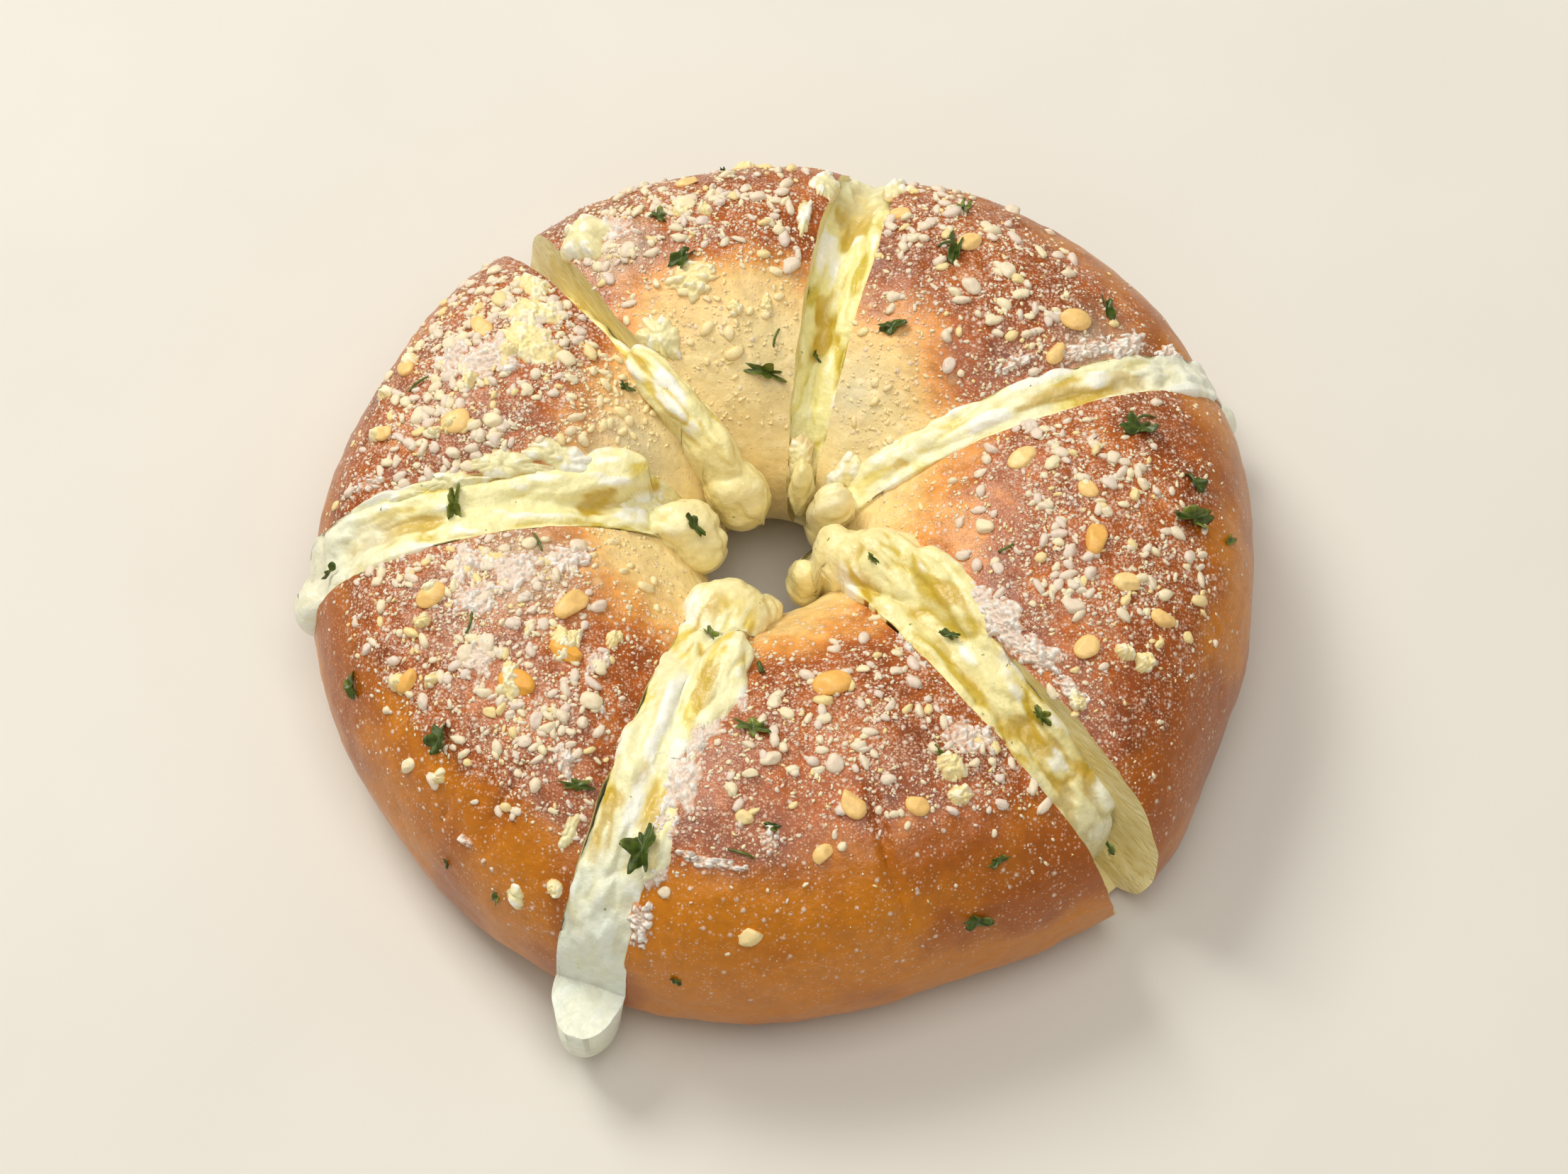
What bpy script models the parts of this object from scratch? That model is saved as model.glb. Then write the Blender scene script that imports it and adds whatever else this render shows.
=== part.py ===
"""Garlic cream cheese bagel: a ring roll with six deep cuts, each cut filled with cream cheese.

Metres, +Z up. The roll lies on its flat underside, and the origin is at the bottom centre of its box.
Angles run anticlockwise from +X as seen from above. A share runs along a section of the ring, from 0 at
the wall of the hole to 1 at the rim.
"""
from collections import namedtuple

import bmesh
import bpy
import numpy as np
from mathutils import Matrix, Vector

MM = 0.001

# Driving dimensions of the baked ring
RING_CENTRE = np.array((1.3, 0.8)) * MM
HOLE_CENTRE = np.array((-1.1, 4.6)) * MM
HOLE_RADIUS = 8.5 * MM
WAIST_HEIGHT = 11 * MM
CREST_HEIGHT = 32.5 * MM
CREST_SHARE = 0.52
CUT_EDGE_DROP = 3 * MM
CUT_EDGE_WIDTH = 7 * MM

# Rim: degrees round the ring, distance of the side's widest point from the ring's centre in mm
RIM_OUTLINE = (
    (0, 60.0), (25, 62.0), (46, 61.7), (78, 59.8), (102, 59.2), (127, 60.2), (152, 60.0), (182, 60.8),
    (213, 59.4), (246, 59.2), (270, 57.4), (292, 56.0), (306, 57.8), (316, 60.2), (336, 58.4),
)

# Fullness of the section: a lower power makes that quarter boxier
OUTER_TOP_POWER = 0.80
INNER_TOP_POWER = 1.10
OUTER_RISE_POWER = 0.86
INNER_RISE_POWER = 1.05
OUTER_FOOT_POWER = 0.62
INNER_FOOT_POWER = 0.70
FOOT_DEPTH = 1.15
FOOT_POWER = 0.8

# Mesh density of the solids
RING_SECTIONS = 80
RING_TURNS = 24
CUT_STATIONS = 12
CREAM_STATIONS = 12

CLEARANCE = 0.35 * MM

# A knife cut with its cream, its angles in degrees and the rest in mm. Three values in a row are at the
# hole, the middle and the rim. bow: how far the cut bends anticlockwise at its middle. half_widths: of the
# slot near the crust. levels: cream above the crust's edge. reach: how far the cream stands out into the
# hole and past the rim. open_rim: the cut runs down through the base at the rim.
Cut = namedtuple("Cut", "rim_angle hole_angle bow half_widths levels reach open_rim")
CUTS = (
    Cut(25.0, 33.0, 0.3, (2.2, 2.6, 2.6), (1.2, 0.8, 1.2), (0.0, 3.2), False),
    Cut(78.0, 62.0, 0.8, (2.0, 3.5, 4.0), (0.0, -2.2, -0.8), (0.0, 0.8), False),
    Cut(127.5, 119.0, 1.2, (2.8, 1.3, 3.2), (2.2, -4.0, -14.0), (0.5, -9.0), True),
    Cut(182.0, 166.0, -1.6, (3.0, 4.0, 4.4), (1.0, 0.4, 1.2), (0.5, 1.6), False),
    Cut(246.0, 240.0, -0.4, (3.2, 3.6, 4.4), (1.4, 1.2, 1.6), (0.5, 5.0), False),
    Cut(316.0, 349.0, -0.8, (2.8, 4.0, 4.4), (1.4, -0.6, -12.0), (0.5, -8.0), True),
)

# Slot section: heights in mm and the share of the full half width found there
SLOT_HEIGHTS = np.array((7.0, 9.5, 18.0, 42.0)) * MM
SLOT_FULLNESS = np.array((0.45, 0.75, 0.95, 1.15))
SLOT_FLOOR = 7 * MM
OPEN_FLOOR = -2 * MM
OPEN_FROM_SHARE = 0.74

# Cream that swells out of a cut: cut number, share, sideways and upwards shift from the crust's edge in mm,
# then half lengths along, across and up in mm. Sideways is anticlockwise.
Swell = namedtuple("Swell", "cut share side lift size")
SWELLS = (
    Swell(1, 0.01, -1.3, 6.6, (3.0, 2.6, 4.6)),
    Swell(1, -0.005, -1.2, 3.8, (2.6, 2.4, 4.4)),
    Swell(2, -0.005, -0.4, 8.0, (2.7, 1.6, 6.2)),
    Swell(3, -0.02, 0.7, 8.0, (4.6, 3.9, 6.2)),
    Swell(3, 0.11, 0.2, 3.5, (6.5, 2.9, 3.8)),
    Swell(3, 0.26, 0.3, 1.6, (8.0, 2.7, 2.8)),
    Swell(4, 0.02, 3.2, 3.2, (3.6, 3.2, 4.8)),
    Swell(4, 0.054, 1.2, 2.8, (4.4, 3.4, 3.6)),
    Swell(4, 0.30, -3.8, 0.4, (9.0, 3.4, 1.4)),
    Swell(4, 0.99, 2.6, -1.0, (3.0, 3.2, 4.6)),
    Swell(5, 0.10, 1.0, 2.0, (4.6, 5.4, 3.8)),
    Swell(5, 0.06, 4.4, 1.2, (3.2, 3.0, 3.6)),
    Swell(5, 0.36, 4.4, 0.8, (9.5, 3.4, 1.9)),
    Swell(5, 0.70, 4.6, 0.4, (6.5, 2.6, 1.4)),
    Swell(5, 1.04, 0.3, -4.6, (5.0, 3.8, 4.6)),
    Swell(6, 0.045, -0.4, 2.8, (4.6, 3.6, 4.8)),
    Swell(6, 0.10, 0.9, 2.8, (4.4, 3.8, 3.2)),
    Swell(6, -0.01, -4.4, 3.0, (2.6, 2.4, 5.0)),
    Swell(6, 0.16, 2.6, 2.2, (6.0, 4.2, 2.6)),
    Swell(6, 0.34, 5.0, 0.9, (9.5, 3.3, 1.9)),
)

# Flakes of parsley on the crust: degrees, share, half length in mm, degrees turned from the rim's direction
PARSLEY = (
    (95, 0.24, 3.0, 70), (138, 0.34, 1.4, 20), (200, 0.94, 1.8, 60), (216, 0.83, 2.2, 30),
    (237, 0.70, 2.6, 110), (265, 0.45, 2.6, 75), (266, 0.28, 1.4, 15), (110, 0.73, 1.7, 40),
    (109, 0.57, 2.2, 120), (63, 0.83, 1.8, 10), (59, 0.67, 3.1, 35), (60, 0.40, 2.2, 140),
    (36, 0.80, 2.1, 80), (14, 0.72, 3.2, 0), (6, 0.83, 1.8, 150), (0, 0.82, 2.9, 10),
    (300, 0.88, 1.7, 90), (295, 0.96, 2.5, 60),
)
PARSLEY_WIDTH = 0.62
LEAF_THICKNESS = 0.8 * MM

# Bits of fried garlic: degrees, share, half length in mm
GARLIC = (
    (58, 0.71, 1.7), (32, 0.62, 1.6), (36, 0.71, 2.0), (71, 0.75, 1.5), (10, 0.44, 2.0), (2, 0.58, 1.4),
    (352, 0.61, 2.1), (346, 0.70, 1.7), (332, 0.67, 1.7), (343, 0.80, 1.7), (284, 0.36, 2.4),
    (282, 0.67, 2.0), (292, 0.72, 1.5), (276, 0.76, 1.4), (213, 0.40, 2.5), (221, 0.48, 2.1),
    (219, 0.62, 2.3), (206, 0.83, 1.7), (197, 0.70, 2.0), (166, 0.85, 1.7), (154, 0.89, 1.8),
    (165, 0.66, 1.9), (145, 0.75, 1.9), (104, 0.85, 1.5),
)
GARLIC_FLATNESS = 0.55

# Grains of grated cheese: how many, and half sizes in mm from and to
CHEESE_COUNT = 74
CHEESE_SIZES = (0.75, 1.35)
CHEESE_FLATNESS = 0.72
TOPPING_BAND = (0.30, 0.93)
PLACES_SEED = 11
SHAPES_SEED = 12
GRAIN_GAP = 0.4 * MM
CREAM_GAP = 1.2 * MM
SUNK = 0.2

# Where the cheese lies thickest: degrees, share, radius in mm, weight
PATCHES = (
    (150, 0.62, 13, 3.0), (140, 0.80, 9, 1.5), (166, 0.72, 9, 1.5),
    (112, 0.80, 10, 2.0), (98, 0.72, 9, 1.5),
    (62, 0.78, 11, 2.0), (48, 0.70, 11, 1.8), (35, 0.55, 8, 0.8),
    (10, 0.55, 11, 1.6), (350, 0.70, 11, 1.6), (338, 0.60, 8, 0.8),
    (306, 0.62, 9, 1.6), (285, 0.52, 9, 1.2), (264, 0.50, 9, 1.2),
    (196, 0.62, 13, 3.0), (212, 0.66, 10, 1.6), (228, 0.70, 9, 1.6),
)
EVEN_COVER = 0.35
FULL_COVER = 3.5

# The one dab of cream that lies on the crust beside the third cut: degrees, share, half sizes in mm
DAB = (121.5, 0.775, (3.4, 3.0, 2.4))

CRUST_COLOUR = (0.46, 0.18, 0.05, 1.0)
CREAM_COLOUR = (0.90, 0.82, 0.52, 1.0)
CRUST_ROUGHNESS = 0.45
CREAM_ROUGHNESS = 0.35


def clear_scene():
    for old in list(bpy.data.objects):
        bpy.data.objects.remove(old)


def material(name, colour, roughness):
    made = bpy.data.materials.new(name)
    made.use_nodes = True
    shader = made.node_tree.nodes["Principled BSDF"]
    shader.inputs["Base Color"].default_value = colour
    shader.inputs["Roughness"].default_value = roughness
    shader.inputs["Metallic"].default_value = 0.0
    return made


def round_curve(degrees, pairs):
    """Smooth closed curve through (degrees, value) pairs, as a Catmull-Rom spline."""
    knots, values = np.array(pairs, float).T
    count = len(knots)
    knots = np.append(knots, knots[0] + 360)
    degrees = np.asarray(degrees) % 360
    i = np.clip(np.searchsorted(knots, degrees, side="right") - 1, 0, count - 1)
    s = (degrees - knots[i]) / (knots[i + 1] - knots[i])
    before, here, after, beyond = (values[(i + step) % count] for step in (-1, 0, 1, 2))
    slope = after - before
    bend = 2 * before - 5 * here + 4 * after - beyond
    twist = 3 * (here - after) + beyond - before
    return here + 0.5 * (slope * s + bend * s**2 + twist * s**3)


def between_cuts(degrees, values):
    """Value at an angle round the rim, from one value for each cut."""
    rims = [cut.rim_angle for cut in CUTS]
    return np.interp(np.asarray(degrees) % 360, rims, values, period=360)


def direction(degrees):
    angle = np.radians(degrees)
    return np.stack([np.cos(angle), np.sin(angle)], -1)


def plan_point(degrees, share, grow=0.0):
    """Where a section's share lies in plan: the sections lean and bend with the cuts on each side of them.

    grow pushes the rim out and the hole's wall in.
    """
    share = np.asarray(share)[..., None]
    lean = between_cuts(degrees, [cut.hole_angle - cut.rim_angle for cut in CUTS])
    bow = between_cuts(degrees, [cut.bow for cut in CUTS])[..., None] * MM
    wall = HOLE_CENTRE + direction(degrees + lean) * (HOLE_RADIUS - grow)
    rim_distance = round_curve(degrees, RIM_OUTLINE) * MM + grow
    rim = RING_CENTRE + direction(degrees) * rim_distance[..., None]
    bend = bow * 4 * share * (1 - share) * (np.abs(share - 0.5) < 0.5)
    return wall + (rim - wall) * share + direction(degrees + 90) * bend


def cut_distance(degrees, plan):
    """Distance in plan from a point to the middle of the nearest cut."""
    rims = np.array([cut.rim_angle for cut in CUTS])
    away = (np.asarray(degrees)[..., None] - rims + 180) % 360 - 180
    return np.radians(np.abs(away).min(-1)) * np.linalg.norm(plan - HOLE_CENTRE, axis=-1)


def ring_surface(degrees, turn, grow=0.0):
    """Point of the uncut ring. turn goes round the section: 0 the rim's waist, a quarter turn the crest."""
    sideways, upwards = np.cos(turn), np.sin(turn)
    outside, above = sideways >= 0, upwards >= 0
    outer = (1 - CREST_SHARE) * np.abs(sideways) ** np.where(above, OUTER_TOP_POWER, OUTER_FOOT_POWER)
    inner = CREST_SHARE * np.abs(sideways) ** np.where(above, INNER_TOP_POWER, INNER_FOOT_POWER)
    share = CREST_SHARE + np.where(outside, outer, -inner)
    rise = np.abs(upwards) ** np.where(outside, OUTER_RISE_POWER, INNER_RISE_POWER)
    foot = np.minimum(1, FOOT_DEPTH * np.abs(upwards) ** FOOT_POWER)
    plan = plan_point(degrees, share, grow)
    edge = cut_distance(degrees, plan)
    top = CREST_HEIGHT + grow - WAIST_HEIGHT - CUT_EDGE_DROP * np.exp(-((edge / CUT_EDGE_WIDTH) ** 2))
    height = np.where(above, WAIST_HEIGHT + top * rise, (WAIST_HEIGHT + grow) * (1 - foot) - grow * foot)
    return np.concatenate([plan, height[..., None]], -1)


def top_height(share, drop=0.0):
    """Height of the ring's top at a share of its section, less drop at the crest."""
    share = np.clip(share, 0.0, 1.0)
    outside = share > CREST_SHARE
    way = np.abs(share - CREST_SHARE) / np.where(outside, 1 - CREST_SHARE, CREST_SHARE)
    sideways = way ** np.where(outside, 1 / OUTER_TOP_POWER, 1 / INNER_TOP_POWER)
    upwards = np.sqrt(np.clip(1 - sideways**2, 0, 1))
    rise = upwards ** np.where(outside, OUTER_RISE_POWER, INNER_RISE_POWER)
    return WAIST_HEIGHT + (CREST_HEIGHT - WAIST_HEIGHT - drop) * rise


def solid(name, points, faces, paint):
    """Object from points and faces, its faces turned outwards."""
    mesh = bpy.data.meshes.new(name)
    mesh.from_pydata([tuple(p) for p in points], [], [tuple(f) for f in faces])
    shape = bmesh.new()
    shape.from_mesh(mesh)
    bmesh.ops.recalc_face_normals(shape, faces=shape.faces)
    bmesh.ops.triangulate(shape, faces=[f for f in shape.faces if len(f.verts) > 4])
    shape.to_mesh(mesh)
    shape.free()
    mesh.materials.append(paint)
    made = bpy.data.objects.new(name, mesh)
    bpy.context.scene.collection.objects.link(made)
    return made


def wrapped_grid(rows, columns, closed_rows):
    """Quads of a grid whose columns close up, and whose rows do too where closed_rows is set."""
    faces = []
    for i in range(rows if closed_rows else rows - 1):
        for j in range(columns):
            k, m = (i + 1) % rows, (j + 1) % columns
            faces.append((i * columns + j, k * columns + j, k * columns + m, i * columns + m))
    return faces


def loft(name, loops, paint):
    """Solid through a row of closed loops, with a flat cap at each end."""
    rows, columns = loops.shape[:2]
    faces = wrapped_grid(rows, columns, False)
    faces.append(tuple(range(columns)))
    faces.append(tuple(range((rows - 1) * columns, rows * columns)))
    return solid(name, loops.reshape(-1, 3), faces, paint)


def uncut_ring(name, paint, grow=0.0):
    degrees = np.arange(RING_SECTIONS) * 360 / RING_SECTIONS
    turns = np.arange(RING_TURNS) * 2 * np.pi / RING_TURNS
    points = ring_surface(*np.meshgrid(degrees, turns, indexing="ij"), grow)
    return solid(name, points.reshape(-1, 3), wrapped_grid(RING_SECTIONS, RING_TURNS, True), paint)


def through_three(share, at_hole, at_middle, at_rim):
    """Parabola through three values at shares 0, 0.5 and 1, held level beyond them."""
    s = np.clip(share, 0, 1)
    return at_hole * (1 - s) * (1 - 2 * s) + at_middle * 4 * s * (1 - s) + at_rim * s * (2 * s - 1)


def cut_ends(cut):
    return plan_point(np.full(2, cut.rim_angle), np.array((0.0, 1.0)))


def cut_length(cut):
    hole_end, rim_end = cut_ends(cut)
    return np.linalg.norm(rim_end - hole_end)


def cut_frame(cut, shares):
    """Centre of the cut in plan at each share, and the level unit vector across it."""
    angles = np.full(np.shape(shares), cut.rim_angle)
    hole_end, rim_end = cut_ends(cut)
    along = (rim_end - hole_end) / np.linalg.norm(rim_end - hole_end)
    return plan_point(angles, shares), along, np.array((-along[1], along[0]))


def slot_floor(cut, shares):
    """Height of the bottom of the cut, which runs out through the base at an open rim."""
    if not cut.open_rim:
        return np.full(np.shape(shares), SLOT_FLOOR)
    run = np.clip((shares - OPEN_FROM_SHARE) / (1 - OPEN_FROM_SHARE), 0, 1)
    return SLOT_FLOOR + (OPEN_FLOOR - SLOT_FLOOR) * run**1.5


def section_loops(cut, shares, heights, half_widths):
    """Loops across a cut: each goes down one side and up the other through the given heights."""
    centre, _, across = cut_frame(cut, shares)
    side = np.concatenate([half_widths, -half_widths[:, ::-1]], 1)
    level = np.concatenate([heights, heights[:, ::-1]], 1)
    plan = centre[:, None] + side[..., None] * across
    return np.concatenate([plan, level[..., None]], -1)


def slot_cutter(name, cut, paint, inset=0.0):
    """The blade-shaped hollow of a cut. inset makes it that much narrower and shallower all round."""
    shares = np.linspace(-0.14, 1.25, CUT_STATIONS)
    floor = slot_floor(cut, shares)[:, None] + inset
    heights = np.maximum(floor, SLOT_HEIGHTS[::-1][None] + 0 * floor)
    heights[:, -1:] = floor
    full = through_three(shares, *cut.half_widths)[:, None] * MM
    half_widths = full * SLOT_FULLNESS[::-1] - inset
    return loft(name, section_loops(cut, shares, heights, half_widths), paint)


def cream_bar(name, cut, paint):
    """The filling along a cut, wider than the slot, so that the slot's walls trim it."""
    length = cut_length(cut)
    start = -cut.reach[0] * MM / length
    end = 1 + cut.reach[1] * MM / length
    ease = (1 - np.cos(np.linspace(0, np.pi, CREAM_STATIONS))) / 2
    shares = start + (end - start) * (0.6 * np.linspace(0, 1, CREAM_STATIONS) + 0.4 * ease)
    floor = slot_floor(cut, shares) - 1 * MM
    edge = top_height(shares, CUT_EDGE_DROP) + through_three(shares, *cut.levels) * MM
    past_rim = np.clip((shares - 1) * length / (4 * MM), 0, 1)
    edge = np.maximum(edge - past_rim * 3 * MM, floor + 2.5 * MM)
    inside = np.clip(np.minimum(shares - start, end - shares) * length / (2.5 * MM), 0, 1)
    roundness = np.sqrt(1 - (1 - inside) ** 2) * 0.75 + 0.25
    full = through_three(shares, *cut.half_widths) * MM
    within_bread = (shares > 0.04) & (shares < 0.96)
    half = np.where(within_bread, full + 0.8 * MM, full * 0.9) * roundness
    middle_height = (floor + edge) / 2
    tall = (edge - floor) / 2 * roundness
    # Each loop: crown, shoulder, wall and foot, as shares of the half width and of the half height.
    # Past the rim the foot narrows, so that the cream hangs out as a rounded tongue.
    tongue = np.clip(((shares - 1) * length + 1 * MM) / (2.6 * MM), 0, 1)[:, None]
    widths = np.array((0.45, 0.95, 1.0, 0.85)) * (1 - tongue) + np.array((0.4, 0.8, 1.0, 0.4)) * tongue
    lifts = np.array((1.0, 0.72, 0.0, -1.0))
    half_widths = half[:, None] * widths
    heights = middle_height[:, None] + tall[:, None] * lifts
    return loft(name, section_loops(cut, shares, heights, half_widths), paint)


def ball(name, paint, subdivisions):
    mesh = bpy.data.meshes.new(name)
    shape = bmesh.new()
    bmesh.ops.create_icosphere(shape, subdivisions=subdivisions, radius=1.0)
    shape.to_mesh(mesh)
    shape.free()
    mesh.materials.append(paint)
    made = bpy.data.objects.new(name, mesh)
    bpy.context.scene.collection.objects.link(made)
    return made


def swell_ball(number, swell, paint):
    """Egg of cream on its cut, in line with it."""
    cut = CUTS[swell.cut - 1]
    centre, along, across = cut_frame(cut, np.array(swell.share))
    plan = centre + across * swell.side * MM
    height = top_height(swell.share, CUT_EDGE_DROP) + swell.lift * MM
    made = ball(f"swell_{number}", paint, 2)
    axes = Matrix(((along[0], across[0], 0), (along[1], across[1], 0), (0, 0, 1)))
    size = Matrix.Diagonal(Vector(swell.size) * MM)
    made.data.transform(Matrix.Translation((*plan, float(height))) @ (axes @ size).to_4x4())
    return made


def combine(target, others, operation, solver="MANIFOLD"):
    """Joins or cuts target with other solids and drops them; the result is one closed body.

    The exact solver returned nothing for three of the six creams, so the manifold one is used here.
    """
    group = bpy.data.collections.new("group")
    bpy.context.scene.collection.children.link(group)
    for other in others:
        bpy.context.scene.collection.objects.unlink(other)
        group.objects.link(other)
    modifier = target.modifiers.new(operation.lower(), "BOOLEAN")
    modifier.operation = operation
    modifier.solver = solver
    modifier.operand_type = "COLLECTION"
    modifier.collection = group
    graph = bpy.context.evaluated_depsgraph_get()
    made = bpy.data.meshes.new_from_object(target.evaluated_get(graph))
    target.modifiers.clear()
    target.data = made
    for other in others:
        bpy.data.objects.remove(other)
    bpy.data.collections.remove(group)
    keep_largest_body(target)


def keep_largest_body(target):
    """Drops loose scraps, and the walls of hollows that joining has sealed."""
    shape = bmesh.new()
    shape.from_mesh(target.data)
    unseen = set(shape.faces)
    bodies = []
    while unseen:
        body, border = [], [unseen.pop()]
        while border:
            face = border.pop()
            body.append(face)
            for edge in face.edges:
                for other in edge.link_faces:
                    if other in unseen:
                        unseen.remove(other)
                        border.append(other)
        bodies.append(body)
    bodies.sort(key=len)
    scraps = [face for body in bodies[:-1] for face in body]
    bmesh.ops.delete(shape, geom=scraps, context="FACES")
    shape.to_mesh(target.data)
    shape.free()


def cut_bread(name, paint, grow=0.0):
    bread = uncut_ring(name, paint, grow)
    blades = [slot_cutter(f"blade_{i}", cut, paint, grow) for i, cut in enumerate(CUTS, 1)]
    for blade in blades:
        combine(bread, [blade], "DIFFERENCE")
    return bread


def fill_cuts(paint):
    """The six creams, each trimmed by the bread with a clearance all round."""
    creams = []
    for number, cut in enumerate(CUTS, 1):
        cream = cream_bar(f"cream_{number}", cut, paint)
        swells = [swell_ball(i, s, paint) for i, s in enumerate(SWELLS) if s.cut == number]
        combine(cream, swells, "UNION")
        combine(cream, [cut_bread("bread_for_clearance", paint, CLEARANCE)], "DIFFERENCE")
        creams.append(cream)
    return creams


def topping_weight(degrees, share):
    """How thickly the toppings lie at a place on the crust."""
    here = plan_point(degrees, share)
    weight = np.full(np.shape(degrees), EVEN_COVER)
    for patch_degrees, patch_share, radius, strength in PATCHES:
        middle = plan_point(np.array(float(patch_degrees)), patch_share)
        away = np.linalg.norm(here - middle, axis=-1) / (radius * MM)
        weight = weight + strength * np.exp(-(away**2))
    return weight


def crust_point(degrees, share):
    plan = plan_point(np.array(degrees), share)
    near_cut = np.exp(-((cut_distance(degrees, plan) / CUT_EDGE_WIDTH) ** 2))
    return np.append(plan, top_height(share, CUT_EDGE_DROP * near_cut))


def crust_frame(degrees, share):
    """Point on the crust, and the turn that stands +Z on it and lays +X towards the rim."""
    point = crust_point(degrees, share)
    outwards = crust_point(degrees, share + 0.004) - point
    onwards = crust_point(degrees + 0.4, share) - point
    up = np.cross(outwards, onwards)
    up /= np.linalg.norm(up)
    outwards /= np.linalg.norm(outwards)
    return point, np.stack([outwards, np.cross(up, outwards), up], 1)


def clear_of_cream(plan, size):
    """Whether a topping of this half size is clear of every slot and of the cream that swells out of it."""
    for number, cut in enumerate(CUTS, 1):
        hole_end, along, across = cut_frame(cut, np.array(0.0))
        length = cut_length(cut)
        share = (plan - hole_end) @ along / length
        side = (plan - hole_end) @ across - cut.bow * MM * 4 * share * (1 - share)
        half_width = through_three(share, *cut.half_widths) * MM
        if -0.1 < share < 1.1 and abs(side) < half_width + CREAM_GAP + size:
            return False
        for swell in SWELLS:
            if swell.cut != number:
                continue
            reach = np.array(swell.size[:2]) * MM + size + CREAM_GAP / 2
            away = np.array(((share - swell.share) * length, side - swell.side * MM))
            if np.linalg.norm(away / reach) < 1:
                return False
    return True


def scatter(count, sizes, seed, taken):
    """Places of grains, the largest first: degrees, share and half size of each, clear of what is taken."""
    draw = np.random.default_rng(seed)
    sizes = np.sort(draw.uniform(*sizes, count))[::-1] * MM
    lowest, highest = (0, TOPPING_BAND[0], 0), (360, TOPPING_BAND[1], FULL_COVER)
    degrees, shares, chance = draw.uniform(lowest, highest, (40 * count, 3)).T
    wanted = chance < topping_weight(degrees, shares)
    places = []
    for angle, share in zip(degrees[wanted], shares[wanted]):
        if len(places) == count:
            break
        size = sizes[len(places)]
        point = crust_point(angle, share)
        apart = all(np.linalg.norm(point - other) > size + reach + GRAIN_GAP for other, reach in taken)
        if apart and clear_of_cream(point[:2], size):
            taken.append((point, size))
            places.append((angle, share, size))
    return places


def seat(made, degrees, share, lift=0.0, spin=0.0):
    """Moves a shape from the origin onto the crust."""
    point, turn = crust_frame(degrees, share)
    place = Matrix(turn.tolist()).to_4x4() @ Matrix.Rotation(spin, 4, "Z")
    made.data.transform(Matrix.Translation(point + turn[:, 2] * lift) @ place)
    return made


def lumpy_ball(name, draw, size, flatness, paint):
    made = ball(name, paint, 1)
    for vertex in made.data.vertices:
        vertex.co *= draw.uniform(0.82, 1.12)
    narrow = draw.uniform(0.7, 1.0)
    made.data.transform(Matrix.Diagonal((size, size * narrow, size * flatness, 1.0)))
    return made


def leaf(name, draw, half_length, paint):
    """A torn flake of parsley: a toothed outline with a top and an underside."""
    corners = 6
    angles = (np.arange(corners) + draw.uniform(-0.2, 0.2, corners)) * 2 * np.pi / corners
    radii = half_length * np.array((1.0, 0.7) * (corners // 2)) * draw.uniform(0.85, 1.0, corners)
    outline = np.stack([radii * np.cos(angles), radii * np.sin(angles) * PARSLEY_WIDTH, 0 * radii], -1)
    half = np.array((0, 0, LEAF_THICKNESS / 2))
    points = np.concatenate([outline + half, [half], outline - half, [-half]])
    top, bottom = corners, 2 * corners + 1
    faces = []
    for i in range(corners):
        j = (i + 1) % corners
        faces.append((i, j, top))
        faces.append((top + 1 + j, top + 1 + i, bottom))
        faces.append((i, top + 1 + i, top + 1 + j, j))
    return solid(name, points, faces, paint)


def toppings_on_crust(paint):
    """Every topping that shows from a step away, seated on the crust."""
    draw = np.random.default_rng(SHAPES_SEED)
    dab = ball("dab", paint, 2)
    dab.data.transform(Matrix.Diagonal((*(Vector(DAB[2]) * MM), 1.0)))
    made = [seat(dab, DAB[0], DAB[1])]
    taken = [(crust_point(DAB[0], DAB[1]), max(DAB[2]) * MM)]
    for number, (degrees, share, half_length, spin) in enumerate(PARSLEY):
        flake = leaf(f"parsley_{number}", draw, half_length * MM, paint)
        made.append(seat(flake, degrees, share, LEAF_THICKNESS / 4, np.radians(spin)))
        taken.append((crust_point(degrees, share), half_length * MM))
    for number, (degrees, share, half_length) in enumerate(GARLIC):
        size = half_length * MM
        bit = lumpy_ball(f"garlic_{number}", draw, size, GARLIC_FLATNESS, paint)
        lift = size * GARLIC_FLATNESS * (0.5 - SUNK)
        made.append(seat(bit, degrees, share, lift, draw.uniform(0, np.pi)))
        taken.append((crust_point(degrees, share), size))
    grains = scatter(CHEESE_COUNT, CHEESE_SIZES, PLACES_SEED, taken)
    for number, (degrees, share, size) in enumerate(grains):
        grain = lumpy_ball(f"cheese_{number}", draw, size, CHEESE_FLATNESS, paint)
        lift = size * CHEESE_FLATNESS * (0.5 - SUNK)
        made.append(seat(grain, degrees, share, lift, draw.uniform(0, np.pi)))
    return made


def smooth(made):
    made.data.shade_smooth()
    made.data.set_sharp_from_angle(angle=np.radians(50))


def main():
    clear_scene()
    crust = material("crust", CRUST_COLOUR, CRUST_ROUGHNESS)
    cream = material("cream", CREAM_COLOUR, CREAM_ROUGHNESS)
    creams = fill_cuts(cream)
    bread = cut_bread("bread", crust)
    combine(bread, toppings_on_crust(crust), "UNION")
    for made in (bread, *creams):
        smooth(made)


main()
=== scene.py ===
# %% [markdown]
# # Garlic cream cheese bagel
#
# A soft ring roll is cut six times from its hole to its rim, though not through its base. Each cut is
# filled with garlic cream cheese, and the crust carries grated cheese, bits of fried garlic and
# parsley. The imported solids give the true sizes. This script makes the surfaces that the eye sees,
# and each piece stands exactly where its solid stands.

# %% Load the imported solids
from collections import namedtuple

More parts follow.
